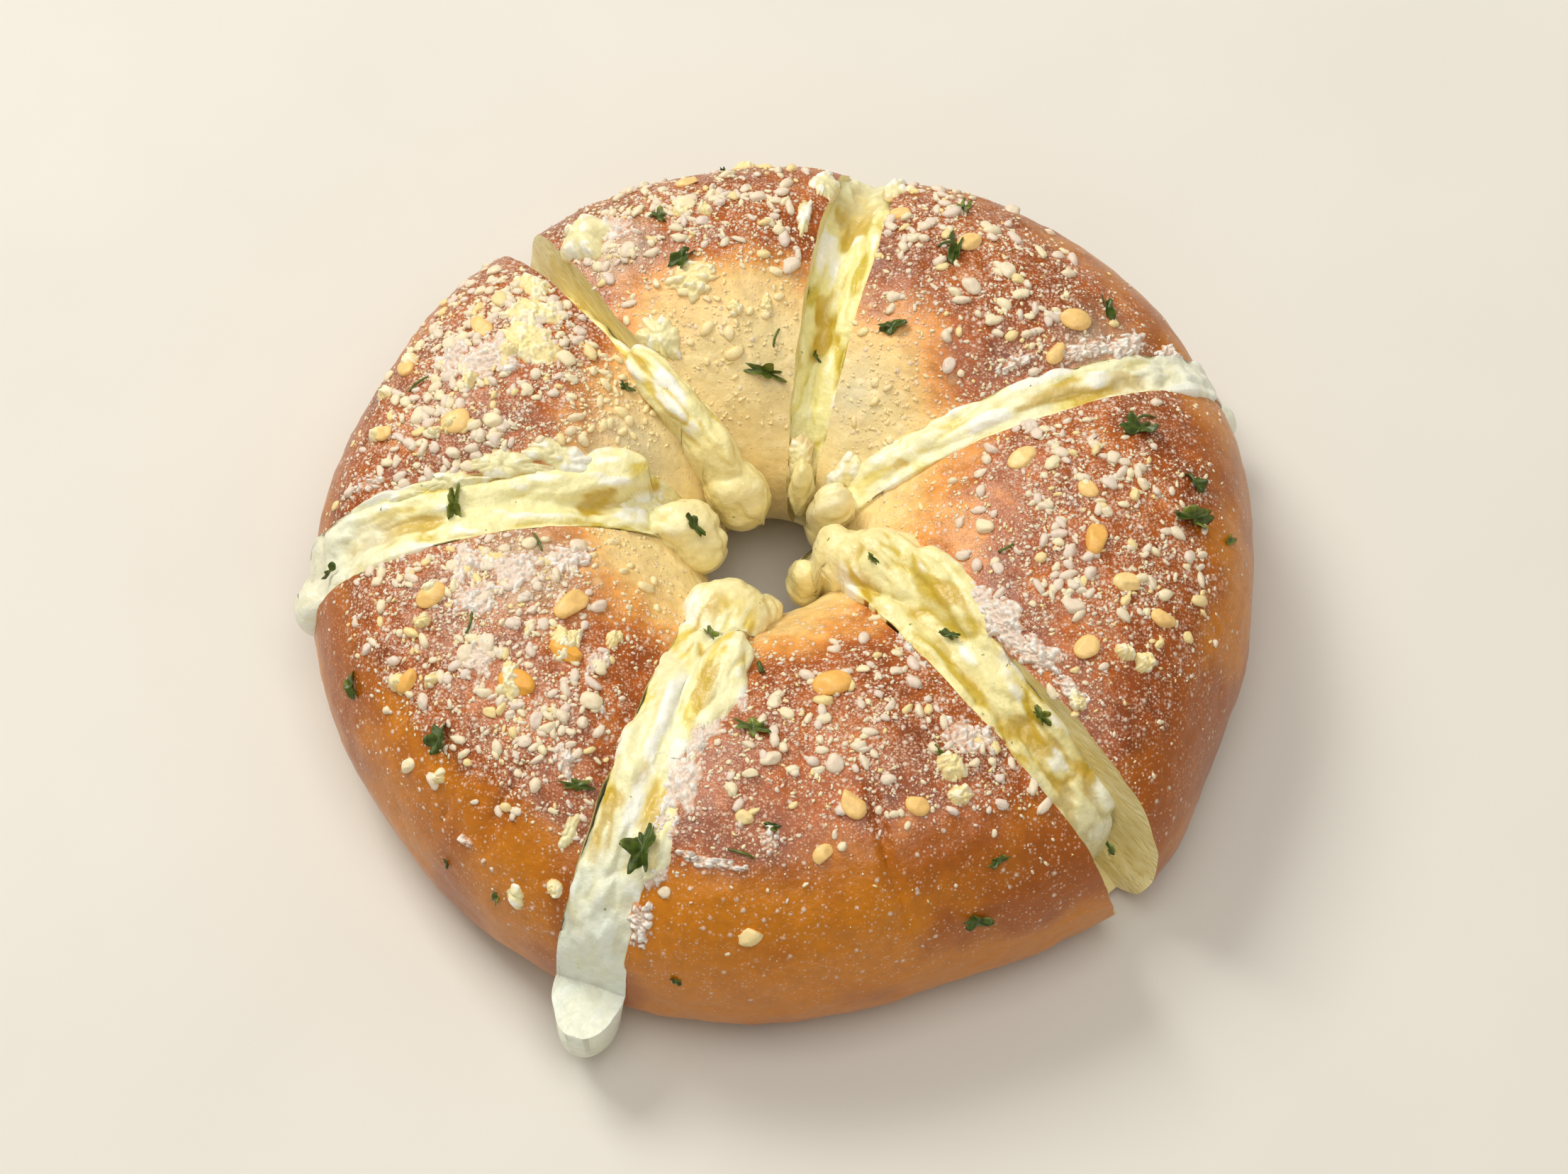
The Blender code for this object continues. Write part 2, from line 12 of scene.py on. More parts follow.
import bmesh
import bpy
import numpy as np
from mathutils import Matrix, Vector


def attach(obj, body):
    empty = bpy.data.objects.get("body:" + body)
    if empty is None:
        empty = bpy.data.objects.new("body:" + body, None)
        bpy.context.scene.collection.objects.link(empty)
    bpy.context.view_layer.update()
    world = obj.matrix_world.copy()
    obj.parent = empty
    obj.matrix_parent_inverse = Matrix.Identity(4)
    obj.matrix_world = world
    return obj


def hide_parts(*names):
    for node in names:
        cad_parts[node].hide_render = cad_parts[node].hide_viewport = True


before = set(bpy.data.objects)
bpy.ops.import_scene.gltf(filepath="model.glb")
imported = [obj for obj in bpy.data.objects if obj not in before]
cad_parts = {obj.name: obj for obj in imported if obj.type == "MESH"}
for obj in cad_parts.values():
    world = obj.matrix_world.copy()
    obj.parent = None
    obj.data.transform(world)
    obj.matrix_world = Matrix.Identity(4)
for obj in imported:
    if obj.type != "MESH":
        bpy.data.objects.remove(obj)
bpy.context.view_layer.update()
MM = 0.001
print("solids:", sorted(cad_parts))

# %% [markdown]
# ## Small tools
#
# Everything organic here is a smooth rule plus unevenness. The unevenness is value noise: each cell of
# an unseen lattice has a random number, and a point blends the numbers at its cell's eight corners.
# It is worked out for whole arrays at once, so a hundred thousand points take a moment.

# %% Noise
PRIMES = np.array((374761393, 668265263, 2246822519), np.uint32)
# How far each octave's places and its seed lie from the last one's
OCTAVE_SHIFT, OCTAVE_SEED = 17.3, 7


def lattice(cells, seed):
    """Random number from 0 to 1 for each whole-number cell, by mixing the bits of its three indices."""
    mixed = (cells.astype(np.int64).astype(np.uint32) * PRIMES).sum(-1, dtype=np.uint32)
    mixed = mixed + np.uint32((seed * 3266489917) % 2**32)
    for shift in (15, 13, 16):
        mixed = (mixed ^ (mixed >> np.uint32(shift))) * PRIMES[2]
    return (mixed ^ (mixed >> np.uint32(15))) / 2**32


def noise(points, size, seed=0, octaves=1):
    """Lumps between about -1 and 1, this many mm across. Each octave is half as wide and half as tall."""
    total = 0.0
    for octave in range(octaves):
        spots = np.asarray(points) / (size * MM) * 2**octave + OCTAVE_SHIFT * octave
        cell = np.floor(spots)
        part = spots - cell
        part = part**3 * (part * (part * 6 - 15) + 10)
        blend = 0.0
        for corner in np.ndindex(2, 2, 2):
            weight = np.where(corner, part, 1 - part).prod(-1)
            blend = blend + weight * lattice(cell + corner, seed + OCTAVE_SEED * octave)
        total = total + (2 * blend - 1) / 2**octave
    return total


def layered(points, kinds, shift=0):
    """Sum of several kinds of noise, in mm. Each has a height and width in mm, a seed and its octaves."""
    return sum(height * noise(points, size, seed + shift, octaves) for height, size, seed, octaves in kinds)


def smooth_step(low, high, value):
    """0 below low, 1 above high, and an S-curve between them."""
    part = np.clip((value - low) / (high - low), 0, 1)
    return part * part * (3 - 2 * part)


def bell(away):
    """Bell curve: 1 at 0, and about a third at 1 either way."""
    return np.exp(-(away**2))


# %% Colours and nodes
def linear(code):
    """The linear colour of an sRGB hex code, with alpha 1."""
    parts = np.array([int(code[i:i + 2], 16) for i in (1, 3, 5)]) / 255
    return (*np.where(parts <= 0.04045, parts / 12.92, ((parts + 0.055) / 1.055) ** 2.4), 1.0)


def mixed(first, second, amount):
    """Colours between two arrays of colours or hex codes."""
    first, second = (np.array(linear(c)) if isinstance(c, str) else c for c in (first, second))
    amount = np.asarray(amount)[..., None]
    return first * (1 - amount) + second * amount


def add(tree, kind, inputs=None, **settings):
    """Adds a node. settings are its properties, inputs what its sockets get: a constant or a source."""
    made = tree.nodes.new(kind)
    for name, value in settings.items():
        setattr(made, name, value)
    for socket, value in (inputs or {}).items():
        if isinstance(value, bpy.types.NodeSocket):
            tree.links.new(value, made.inputs[socket])
        else:
            made.inputs[socket].default_value = value
    return made


def maths(tree, operation, *inputs):
    """Output of a Math node on constants or sources, in the order of its sockets."""
    return add(tree, "ShaderNodeMath", dict(enumerate(inputs)), operation=operation).outputs[0]


def vector_maths(tree, operation, *inputs):
    """Output of a Vector Math node on constants or sources, in the order of its sockets."""
    return add(tree, "ShaderNodeVectorMath", dict(enumerate(inputs)), operation=operation).outputs[0]


def ranged(tree, value, low, high, to_low=0.0, to_high=1.0):
    """Output of a Map Range node: low to high becomes to_low to to_high, held level beyond."""
    inputs = {"Value": value, "From Min": low, "From Max": high, "To Min": to_low, "To Max": to_high}
    return add(tree, "ShaderNodeMapRange", inputs).outputs["Result"]


def clouds(tree, place, size_mm, detail, roughness=0.5):
    """Output of a Noise Texture node with lumps this wide."""
    inputs = {"Vector": place, "Scale": 1000 / size_mm, "Detail": detail, "Roughness": roughness}
    return add(tree, "ShaderNodeTexNoise", inputs).outputs["Fac"]


def painted(tree, layer, output="Fac"):
    """Output of an Attribute node, which reads a value or a colour kept on the mesh."""
    return add(tree, "ShaderNodeAttribute", attribute_name=layer).outputs[output]


# A Mix node set to colours: its factor, its two colours, and its result among the outputs
MIX_FACTOR, MIX_A, MIX_B, MIX_RESULT = 0, 6, 7, 2


def blended(tree, factor, first, second):
    """Output of a Mix node between two colours, each a hex code or a source."""
    first, second = (linear(c) if isinstance(c, str) else c for c in (first, second))
    inputs = {MIX_FACTOR: factor, MIX_A: first, MIX_B: second}
    return add(tree, "ShaderNodeMix", inputs, data_type="RGBA").outputs[MIX_RESULT]


def emboss(tree, shader, height, strength, depth_mm, coated=False):
    """Bump from a height, under the shader's coat too where it has one."""
    bump = add(tree, "ShaderNodeBump", {"Height": height, "Strength": strength, "Distance": depth_mm * MM})
    for socket in ("Normal", "Coat Normal") if coated else ("Normal",):
        tree.links.new(bump.outputs["Normal"], shader.inputs[socket])


def new_material(name, **shader_values):
    """Material with a Principled shader, its tree, and that shader."""
    made = bpy.data.materials.new(name)
    made.use_nodes = True
    tree = made.node_tree
    shader = tree.nodes["Principled BSDF"]
    for socket, value in shader_values.items():
        shader.inputs[socket.replace("_", " ")].default_value = value
    return made, tree, shader


# %% Meshes from arrays
def grid_faces(rows, columns, closed_rows=False):
    """Quads between neighbours of a grid whose columns close up, and whose rows do too where asked."""
    i, j = np.meshgrid(np.arange(rows if closed_rows else rows - 1), np.arange(columns), indexing="ij")
    k, m = (i + 1) % rows, (j + 1) % columns
    corners = (i * columns + j, k * columns + j, k * columns + m, i * columns + m)
    return np.stack(corners, -1).reshape(-1, 4)


def mesh_object(name, points, faces, materials, attributes=None, merge=0.0):
    """Object at the origin from arrays. Faces turn outwards, and points nearer than merge become one."""
    points, faces = np.asarray(points, float).reshape(-1, 3), np.asarray(faces)
    mesh = bpy.data.meshes.new(name)
    mesh.vertices.add(len(points))
    mesh.vertices.foreach_set("co", points.ravel())
    mesh.loops.add(faces.size)
    mesh.loops.foreach_set("vertex_index", faces.ravel())
    mesh.polygons.add(len(faces))
    mesh.polygons.foreach_set("loop_start", np.arange(len(faces)) * faces.shape[1])
    mesh.update(calc_edges=True)
    for label, values in (attributes or {}).items():
        kind = "FLOAT" if np.ndim(values) == 1 else "FLOAT_COLOR"
        layer = mesh.attributes.new(label, kind, "POINT")
        layer.data.foreach_set("value" if kind == "FLOAT" else "color", np.ravel(values))
    shape = bmesh.new()
    shape.from_mesh(mesh)
    if merge:
        bmesh.ops.remove_doubles(shape, verts=shape.verts, dist=merge)
    bmesh.ops.recalc_face_normals(shape, faces=shape.faces)
    shape.to_mesh(mesh)
    shape.free()
    mesh.shade_smooth()
    for material in materials:
        mesh.materials.append(material)
    made = bpy.data.objects.new(name, mesh)
    bpy.context.scene.collection.objects.link(made)
    return made


def triangle_count(made):
    """Number of triangles of a mesh object."""
    made.data.calc_loop_triangles()
    return len(made.data.loop_triangles)


# %% [markdown]
# ## Camera, floor and light
#
# The photograph looks down at about 64 degrees from half a metre away, with a lens of about 90 mm.
# A broad soft window from the upper left and a ceiling lamp light the roll, so the right-hand side has
# the shadow.

# %% Camera
EYE = Vector((0.0012, -0.2175, 0.4634))
TARGET = Vector((0.0012, 0.0017, 0.014))

camera_data = bpy.data.cameras.new("camera")
camera_data.lens = 89.5
camera_data.sensor_width = 36.0
camera_data.shift_x = -0.0018
camera_data.shift_y = -0.0072
camera = bpy.data.objects.new("camera", camera_data)
camera.location = EYE
camera.rotation_euler = (TARGET - EYE).to_track_quat("-Z", "Y").to_euler()
bpy.context.scene.collection.objects.link(camera)
bpy.context.scene.camera = camera

# %% Floor and light
FLOOR_HALF = 1.2
floor_material, tree, shader = new_material("matt_paper", Roughness=0.85)
grain = add(tree, "ShaderNodeTexNoise", {"Scale": 60.0, "Detail": 3.0}).outputs["Fac"]
tree.links.new(blended(tree, grain, "#DCD8CE", "#E4E0D7"), shader.inputs["Base Color"])
corners = np.array(((-1, -1, 0), (1, -1, 0), (1, 1, 0), (-1, 1, 0))) * FLOOR_HALF
floor = mesh_object("floor", corners, ((0, 1, 2, 3),), [floor_material])


def area_light(name, place, size, power, colour):
    """Square lamp that looks at the roll."""
    data = bpy.data.lights.new(name, "AREA")
    data.size = size
    data.energy = power
    data.color = linear(colour)[:3]
    made = bpy.data.objects.new(name, data)
    made.location = place
    made.rotation_euler = (TARGET - Vector(place)).to_track_quat("-Z", "Y").to_euler()
    bpy.context.scene.collection.objects.link(made)


area_light("window", (-0.50, 0.55, 0.85), size=0.45, power=8.0, colour="#FFFCF5")
area_light("ceiling", (0.05, -0.15, 1.10), size=0.7, power=5.0, colour="#FFFBF5")
world = bpy.data.worlds.new("soft_room")
world.use_nodes = True
background = world.node_tree.nodes["Background"]
background.inputs["Color"].default_value = linear("#F5F3EE")
background.inputs["Strength"].default_value = 0.36
bpy.context.scene.world = world
bpy.context.scene.view_settings.view_transform = "Standard"

# %% [markdown]
# ## The ring
#
# A bagel's section is not a circle: the outer shoulder is boxy, the side towards the hole slopes, and
# the foot is flat from the tray. Powers of cosine and sine give that. One number, the share, runs along
# a section from the hole's wall (0) to the rim (1), and degrees run round the ring. The six cuts lie on
# lines of constant degrees, so the whole roll is a function of two parameters.

# %% Sizes of the ring
RING_CENTRE = np.array((1.3, 0.8)) * MM
HOLE_CENTRE = np.array((-1.1, 4.6)) * MM
HOLE_RADIUS = 8.5 * MM
WAIST_HEIGHT = 11 * MM
CREST_HEIGHT = 32.5 * MM
CREST_SHARE = 0.52
CUT_EDGE_DROP = 3 * MM
CUT_EDGE_WIDTH = 7 * MM

# Degrees round the ring, and how far the rim lies from the ring's centre in mm
RIM_OUTLINE = (
    (0, 60.0), (25, 62.0), (46, 61.7), (78, 59.8), (102, 59.2), (127, 60.2), (152, 60.0), (182, 60.8),
    (213, 59.4), (246, 59.2), (270, 57.4), (292, 56.0), (306, 57.8), (316, 60.2), (336, 58.4),
)
OUTER_TOP_POWER = 0.80
INNER_TOP_POWER = 1.10
OUTER_RISE_POWER = 0.86
INNER_RISE_POWER = 1.05
OUTER_FOOT_POWER = 0.62
INNER_FOOT_POWER = 0.70
FOOT_DEPTH = 1.15
FOOT_POWER = 0.8

# A knife cut with its cream, its angles in degrees and the rest in mm. Three values in a row are at the
# hole, the middle and the rim. bow: how far the cut bends anticlockwise. levels: cream above the crust's
# edge. reach: how far the cream stands out into the hole and past the rim.
Cut = namedtuple("Cut", "rim_angle hole_angle bow half_widths levels reach open_rim")
CUTS = (
    Cut(25.0, 33.0, 0.3, (2.2, 2.6, 2.6), (1.2, 0.8, 1.2), (0.0, 3.2), False),
    Cut(78.0, 62.0, 0.8, (2.0, 3.5, 4.0), (0.0, -2.2, -0.8), (0.0, 0.8), False),
    Cut(127.5, 119.0, 1.2, (2.8, 1.3, 3.2), (2.2, -4.0, -14.0), (0.5, -9.0), True),
    Cut(182.0, 166.0, -1.6, (3.0, 4.0, 4.4), (1.0, 0.4, 1.2), (0.5, 1.6), False),
    Cut(246.0, 240.0, -0.4, (3.2, 3.6, 4.4), (1.4, 1.2, 1.6), (0.5, 5.0), False),
    Cut(316.0, 349.0, -0.8, (2.8, 4.0, 4.4), (1.4, -0.6, -12.0), (0.5, -8.0), True),
)
SLOT_HEIGHTS = np.array((7.0, 9.5, 18.0, 42.0)) * MM
SLOT_FULLNESS = np.array((0.45, 0.75, 0.95, 1.15))
SLOT_FLOOR = 7 * MM
OPEN_FLOOR = -2 * MM
OPEN_FROM_SHARE = 0.74


# %% Plan of the ring
def round_curve(degrees, pairs):
    """Smooth closed curve through (degrees, value) pairs: a Catmull-Rom cubic between neighbours."""
    knots, values = np.array(pairs, float).T
    count = len(knots)
    knots = np.append(knots, knots[0] + 360)
    degrees = (np.asarray(degrees) - knots[0]) % 360 + knots[0]
    i = np.clip(np.searchsorted(knots, degrees, side="right") - 1, 0, count - 1)
    s = (degrees - knots[i]) / (knots[i + 1] - knots[i])
    before, here, after, beyond = (values[(i + step) % count] for step in (-1, 0, 1, 2))
    slope = after - before
    bend = 2 * before - 5 * here + 4 * after - beyond
    twist = 3 * (here - after) + beyond - before
    return here + 0.5 * (slope * s + bend * s**2 + twist * s**3)


def between_cuts(degrees, values):
    """Value at an angle, straight between one value for each cut."""
    rims = [cut.rim_angle for cut in CUTS]
    return np.interp(np.asarray(degrees) % 360, rims, values, period=360)


def direction(degrees):
    """Unit vector in plan at an angle."""
    angle = np.radians(degrees)
    return np.stack([np.cos(angle), np.sin(angle)], -1)


def unit(vectors):
    """The same directions with length 1."""
    return vectors / np.linalg.norm(vectors, axis=-1, keepdims=True)


def plan_point(degrees, share):
    """Plan position: from the hole's wall to the rim by the share, leaning and bending with the cuts."""
    share = np.asarray(share)[..., None]
    lean = between_cuts(degrees, [cut.hole_angle - cut.rim_angle for cut in CUTS])
    bow = between_cuts(degrees, [cut.bow for cut in CUTS])[..., None] * MM
    wall = HOLE_CENTRE + direction(degrees + lean) * HOLE_RADIUS
    rim = RING_CENTRE + direction(degrees) * round_curve(degrees, RIM_OUTLINE)[..., None] * MM
    bend = bow * 4 * share * (1 - share) * (np.abs(share - 0.5) < 0.5)
    return wall + (rim - wall) * share + direction(degrees + 90) * bend


def raised(plan, height):
    """Points over plan positions, at a height."""
    return np.concatenate([plan, height[..., None]], -1)


def cut_distance(degrees, plan):
    """Distance in plan to the middle of the nearest cut: the angle between them times the radius."""
    rims = np.array([cut.rim_angle for cut in CUTS])
    away = (np.asarray(degrees)[..., None] - rims + 180) % 360 - 180
    return np.radians(np.abs(away).min(-1)) * np.linalg.norm(plan - HOLE_CENTRE, axis=-1)


# %% Section of the ring
def edge_drop(degrees, plan):
    """How far the crust sinks towards a cut: a bell curve of the distance to it."""
    return CUT_EDGE_DROP * bell(cut_distance(degrees, plan) / CUT_EDGE_WIDTH)


def section_share(turn):
    """Share at a turn round the section, by a power of its cosine. 0 is the rim's waist, pi/2 the crest."""
    sideways, above = np.cos(turn), np.sin(turn) >= 0
    outer = (1 - CREST_SHARE) * np.abs(sideways) ** np.where(above, OUTER_TOP_POWER, OUTER_FOOT_POWER)
    inner = CREST_SHARE * np.abs(sideways) ** np.where(above, INNER_TOP_POWER, INNER_FOOT_POWER)
    return CREST_SHARE + np.where(sideways >= 0, outer, -inner)


def ring_surface(degrees, turn):
    """Point of the uncut ring: height is the waist plus a power of the sine above, a flat foot below."""
    upwards, outside = np.sin(turn), np.cos(turn) >= 0
    rise = np.abs(upwards) ** np.where(outside, OUTER_RISE_POWER, INNER_RISE_POWER)
    foot = np.minimum(1, FOOT_DEPTH * np.abs(upwards) ** FOOT_POWER)
    plan = plan_point(degrees, section_share(turn))
    top = CREST_HEIGHT - WAIST_HEIGHT - edge_drop(degrees, plan)
    height = np.where(upwards >= 0, WAIST_HEIGHT + top * rise, WAIST_HEIGHT * (1 - foot))
    return raised(plan, height)


def top_height(share, drop=0.0):
    """Height of the ring's top at a share, less drop at the crest: the section's powers turned round."""
    share = np.clip(share, 0.0, 1.0)
    outside = share > CREST_SHARE
    way = np.abs(share - CREST_SHARE) / np.where(outside, 1 - CREST_SHARE, CREST_SHARE)
    sideways = way ** np.where(outside, 1 / OUTER_TOP_POWER, 1 / INNER_TOP_POWER)
    upwards = np.sqrt(np.clip(1 - sideways**2, 0, 1))
    rise = upwards ** np.where(outside, OUTER_RISE_POWER, INNER_RISE_POWER)
    return WAIST_HEIGHT + (CREST_HEIGHT - WAIST_HEIGHT - drop) * rise


# %% Frame of a cut
def through_three(share, at_hole, at_middle, at_rim):
    """Parabola through three values at shares 0, 0.5 and 1, held level beyond them."""
    s = np.clip(share, 0, 1)
    return at_hole * (1 - s) * (1 - 2 * s) + at_middle * 4 * s * (1 - s) + at_rim * s * (2 * s - 1)


def cut_line(cut):
    """Start of the cut at the hole, its unit vectors along and across in plan, and its length."""
    start, end = plan_point(np.full(2, cut.rim_angle), np.array((0.0, 1.0)))
    length = np.linalg.norm(end - start)
    along = (end - start) / length
    return start, along, np.array((-along[1], along[0])), length


def in_cut(cut, x, y, height):
    """Points at mm along a cut and across it, and at a height in mm."""
    start, along, across, _ = cut_line(cut)
    return raised(start + (x * MM)[..., None] * along + (y * MM)[..., None] * across, height * MM)


def slot_floor(cut, shares):
    """Height of the bottom of the cut, which runs out through the base at an open rim."""
    if not cut.open_rim:
        return np.full(np.shape(shares), SLOT_FLOOR)
    run = np.clip((shares - OPEN_FROM_SHARE) / (1 - OPEN_FROM_SHARE), 0, 1)
    return SLOT_FLOOR + (OPEN_FLOOR - SLOT_FLOOR) * run**1.5


for number, cut in enumerate(CUTS, 1):
    print(f"cut {number}: {cut_line(cut)[3] / MM:.1f} mm long")

# %% [markdown]
# ## Relief of the crust
#
# Baking blisters and wrinkles the skin, and the knife's drag folds it near the hole. The relief is a
# height along the ring's normal. It could be a displacement modifier, but the toppings have to sit on
# the same surface, so it is a function that both the bread and the toppings read.

# %% Where the cheese lies thickest: degrees, share, radius in mm, weight
PATCHES = (
    (150, 0.62, 13, 3.0), (140, 0.80, 9, 1.5), (166, 0.72, 9, 1.5),
    (112, 0.80, 10, 2.0), (98, 0.72, 9, 1.5),
    (62, 0.78, 11, 1.8), (48, 0.70, 11, 0.6), (35, 0.55, 8, 0.8),
    (10, 0.55, 11, 1.6), (350, 0.70, 11, 1.6), (338, 0.60, 8, 0.8),
    (306, 0.62, 9, 1.6), (285, 0.52, 9, 1.2), (264, 0.50, 9, 0.8),
    (196, 0.62, 13, 3.0), (212, 0.66, 10, 1.6), (228, 0.70, 9, 1.6),
)
EVEN_COVER = 0.35


def nearness(plan, degrees, share, radius):
    """Bell curve of the distance in plan to a spot: 1 on it, about a third at the radius in mm."""
    middle = plan_point(np.array(float(degrees)), share)
    return bell(np.linalg.norm(plan - middle, axis=-1) / (radius * MM))


def topping_weight(degrees, share):
    """How thickly the toppings lie: an even cover plus a bell curve round each patch."""
    here = plan_point(degrees, share)
    weight = np.full(np.shape(degrees), EVEN_COVER)
    for *spot, strength in PATCHES:
        weight = weight + strength * nearness(here, *spot)
    return weight


# %% Relief function
# Broad dents and pebbles: height and width in mm, seed, octaves
CRUST_BUMPS = ((0.42, 15, 1, 2), (0.13, 2.8, 5, 2))
# Creases where the crust split as it cooled: degrees, first and last share, depth in mm
CREASES = ((229.5, 0.70, 0.93, 0.9), (285.5, 0.60, 0.97, 0.8), (222.0, 0.88, 0.98, 0.6))
CREASE_WIDTH = 0.55 * MM
CREASE_WANDER = 1.2 * MM
CREASE_FADE = 0.06


def crust_relief(points, degrees, share):
    """Height of the crust off the smooth ring: dents, pebbles, grit where cheese lies, and creases."""
    covered = smooth_step(0.4, 2.2, topping_weight(degrees, share))
    grit = (0.04 + 0.16 * covered) * noise(points, 1.3, 9)
    total = (layered(points, CRUST_BUMPS) + grit) * MM
    wander = CREASE_WANDER * noise(points, 9, 13)
    for crease_degrees, first, last, depth in CREASES:
        across = np.radians((degrees - crease_degrees + 180) % 360 - 180)
        across = across * np.linalg.norm(points[..., :2] - HOLE_CENTRE, axis=-1) + wander
        inside = smooth_step(first, first + CREASE_FADE, share)
        inside = inside * smooth_step(last, last - CREASE_FADE, share)
        total = total - depth * MM * inside * bell(across / CREASE_WIDTH)
    return total * smooth_step(0.0, 3.0 * MM, points[..., 2])


def smooth_top(degrees, share):
    """Point on the smooth top of the ring, without relief."""
    plan = plan_point(degrees, share)
    return raised(plan, top_height(share, edge_drop(degrees, plan)))


def upright(outwards, onwards):
    """Three unit vectors: outwards, then one square to it, then up, which is square to both directions."""
    up, outwards = unit(np.cross(outwards, onwards)), unit(outwards)
    return np.stack([outwards, np.cross(up, outwards), up], -1)


# Small steps over the surface that give its directions
DEGREE_STEP, SHARE_STEP = 0.4, 0.004


def crust_surface(degrees, share):
    """Points on the crust with relief, and three unit vectors there: outwards, onwards and up."""
    degrees, share = np.asarray(degrees, float), np.asarray(share, float)
    here = smooth_top(degrees, share)
    outwards, onwards = smooth_top(degrees, share + SHARE_STEP), smooth_top(degrees + DEGREE_STEP, share)
    turns = upright(outwards - here, onwards - here)
    return here + turns[..., 2] * crust_relief(here, degrees, share)[..., None], turns


# %% [markdown]
# ## Colours of the crust
#
# A milk bread crust browns by how much heat and how little butter it gets: it is pale yellow where
# the cream and butter soaked it near the hole, orange brown over the crest, and a plain glossy golden
# brown on the outer side, where nothing was sprinkled. The zones are worked out at every point and kept
# as colours on the mesh, and the shader adds what is finer than the mesh.

# %% Zones of the crust
# Degrees, and the share at which the pale buttered zone has given way to brown
PALE_END = (
    (10, 0.30), (50, 0.42), (100, 0.54), (150, 0.42), (182, 0.36), (215, 0.30), (280, 0.22), (335, 0.26),
)
# Degrees, and the share from which the outer side is bare of toppings
BARE_FROM = (
    (10, 0.86), (50, 0.86), (100, 0.97), (150, 0.95), (205, 0.88), (225, 0.82), (262, 0.76), (290, 0.74),
    (312, 0.82), (340, 0.88),
)
BAKE_STOPS = (0.0, 0.28, 0.50, 0.72, 1.0)
BAKE_CODES = ("#F8DF9E", "#F8CE82", "#EEA14A", "#B65C14", "#873C06")
SCORCH_CODE, VEIL_CODE, FOOT_CODE, UNDER_CODE = "#7C3A08", "#DDD5B4", "#E0B26C", "#B57F43"
GOLDEN_CODES = ("#CE7C04", "#A65602")
# How far above the waist the cheese dust reaches its full strength
DUST_FADE = 10 * MM
# Where melted cream soaked in and dried to a grey veil: degrees, share, radius in mm
VEILS = ((151, 0.25, 5.0), (118, 0.70, 4.0), (200, 0.44, 6.0), (62, 0.22, 4.0), (30, 0.74, 4.5))


def bake_colour(amount):
    """Colour of the crust from unbaked 0 to brown 1, straight between five stops."""
    stops = np.array([linear(code) for code in BAKE_CODES])
    return np.stack([np.interp(amount, BAKE_STOPS, stops[:, i]) for i in range(4)], -1)


def crust_colours(points, degrees, share):
    """Colour of each crust point, and how much cheese dust and how much bare gloss it has."""
    height = points[..., 2]
    pale_end = round_curve(degrees, PALE_END)
    bake = smooth_step(pale_end - 0.24, pale_end + 0.14, share + 0.05 * noise(points, 9, 21, 3))
    colour = bake_colour(bake * (0.84 + 0.16 * noise(points, 4, 24, 3)))
    colour = mixed(colour, SCORCH_CODE, 0.5 * bake * smooth_step(0.25, 0.9, noise(points, 8, 29, 2)))
    for spot in VEILS:
        patchy = nearness(points[..., :2], *spot) * (0.8 + 0.4 * noise(points, 3, 39, 2))
        colour = mixed(colour, VEIL_CODE, np.clip(0.75 * patchy, 0, 1))
    past = share + 0.03 * noise(points, 6, 27, 2) - round_curve(degrees, BARE_FROM)
    bare = np.where(height < WAIST_HEIGHT, 1.0, smooth_step(-0.03, 0.05, past))
    golden = mixed(*GOLDEN_CODES, smooth_step(-0.6, 0.8, noise(points, 11, 31, 3)))
    colour = mixed(colour, golden, bare * (share > 0.3))
    foot = smooth_step(5.0 * MM, 0.5 * MM, height + 1.2 * MM * noise(points, 7, 33, 2))
    colour = mixed(colour, FOOT_CODE, foot * 0.8)
    under = smooth_step(0.6 * MM, 0.1 * MM, height)
    colour = mixed(colour, UNDER_CODE, under * smooth_step(-0.7, 0.6, noise(points, 8, 35, 2)))
    cover = topping_weight(degrees, share) + 0.7 * noise(points, 5, 37, 2)
    dust = 0.5 + 0.5 * smooth_step(0.3, 2.6, cover)
    dust = dust * (1 - 0.7 * bare) * (0.15 + 0.85 * bake)
    return colour, dust * smooth_step(WAIST_HEIGHT, WAIST_HEIGHT + DUST_FADE, height), bare


# %% Crust material: milk bread skin, glazed with butter, and dusted with grated hard cheese
# The butter leaves a thin clear coat that glints on every grain, IOR about 1.46; the dust is dull.
# Sizes of its patterns in mm
SPECK_SIZE, POWDER_SIZE, GRAIN_SIZE, BLISTER_SIZE = 0.27, 0.42, 0.80, 1.7
MOTTLE_SIZE, CLUMP_SIZE = 1.5, 2.6


def scattered_dots(tree, place, size_mm, lit, edge=0.5):
    """Round dots of one size, on the part of a Voronoi pattern's cells that the lit value asks for."""
    cells = add(tree, "ShaderNodeTexVoronoi", {"Vector": place, "Scale": 1000 / size_mm})
    chance = add(tree, "ShaderNodeSeparateColor", {"Color": cells.outputs["Color"]}).outputs["Red"]
    dome = ranged(tree, cells.outputs["Distance"], edge, 0.4 * edge)
    return maths(tree, "MULTIPLY", maths(tree, "GREATER_THAN", lit, chance), dome)


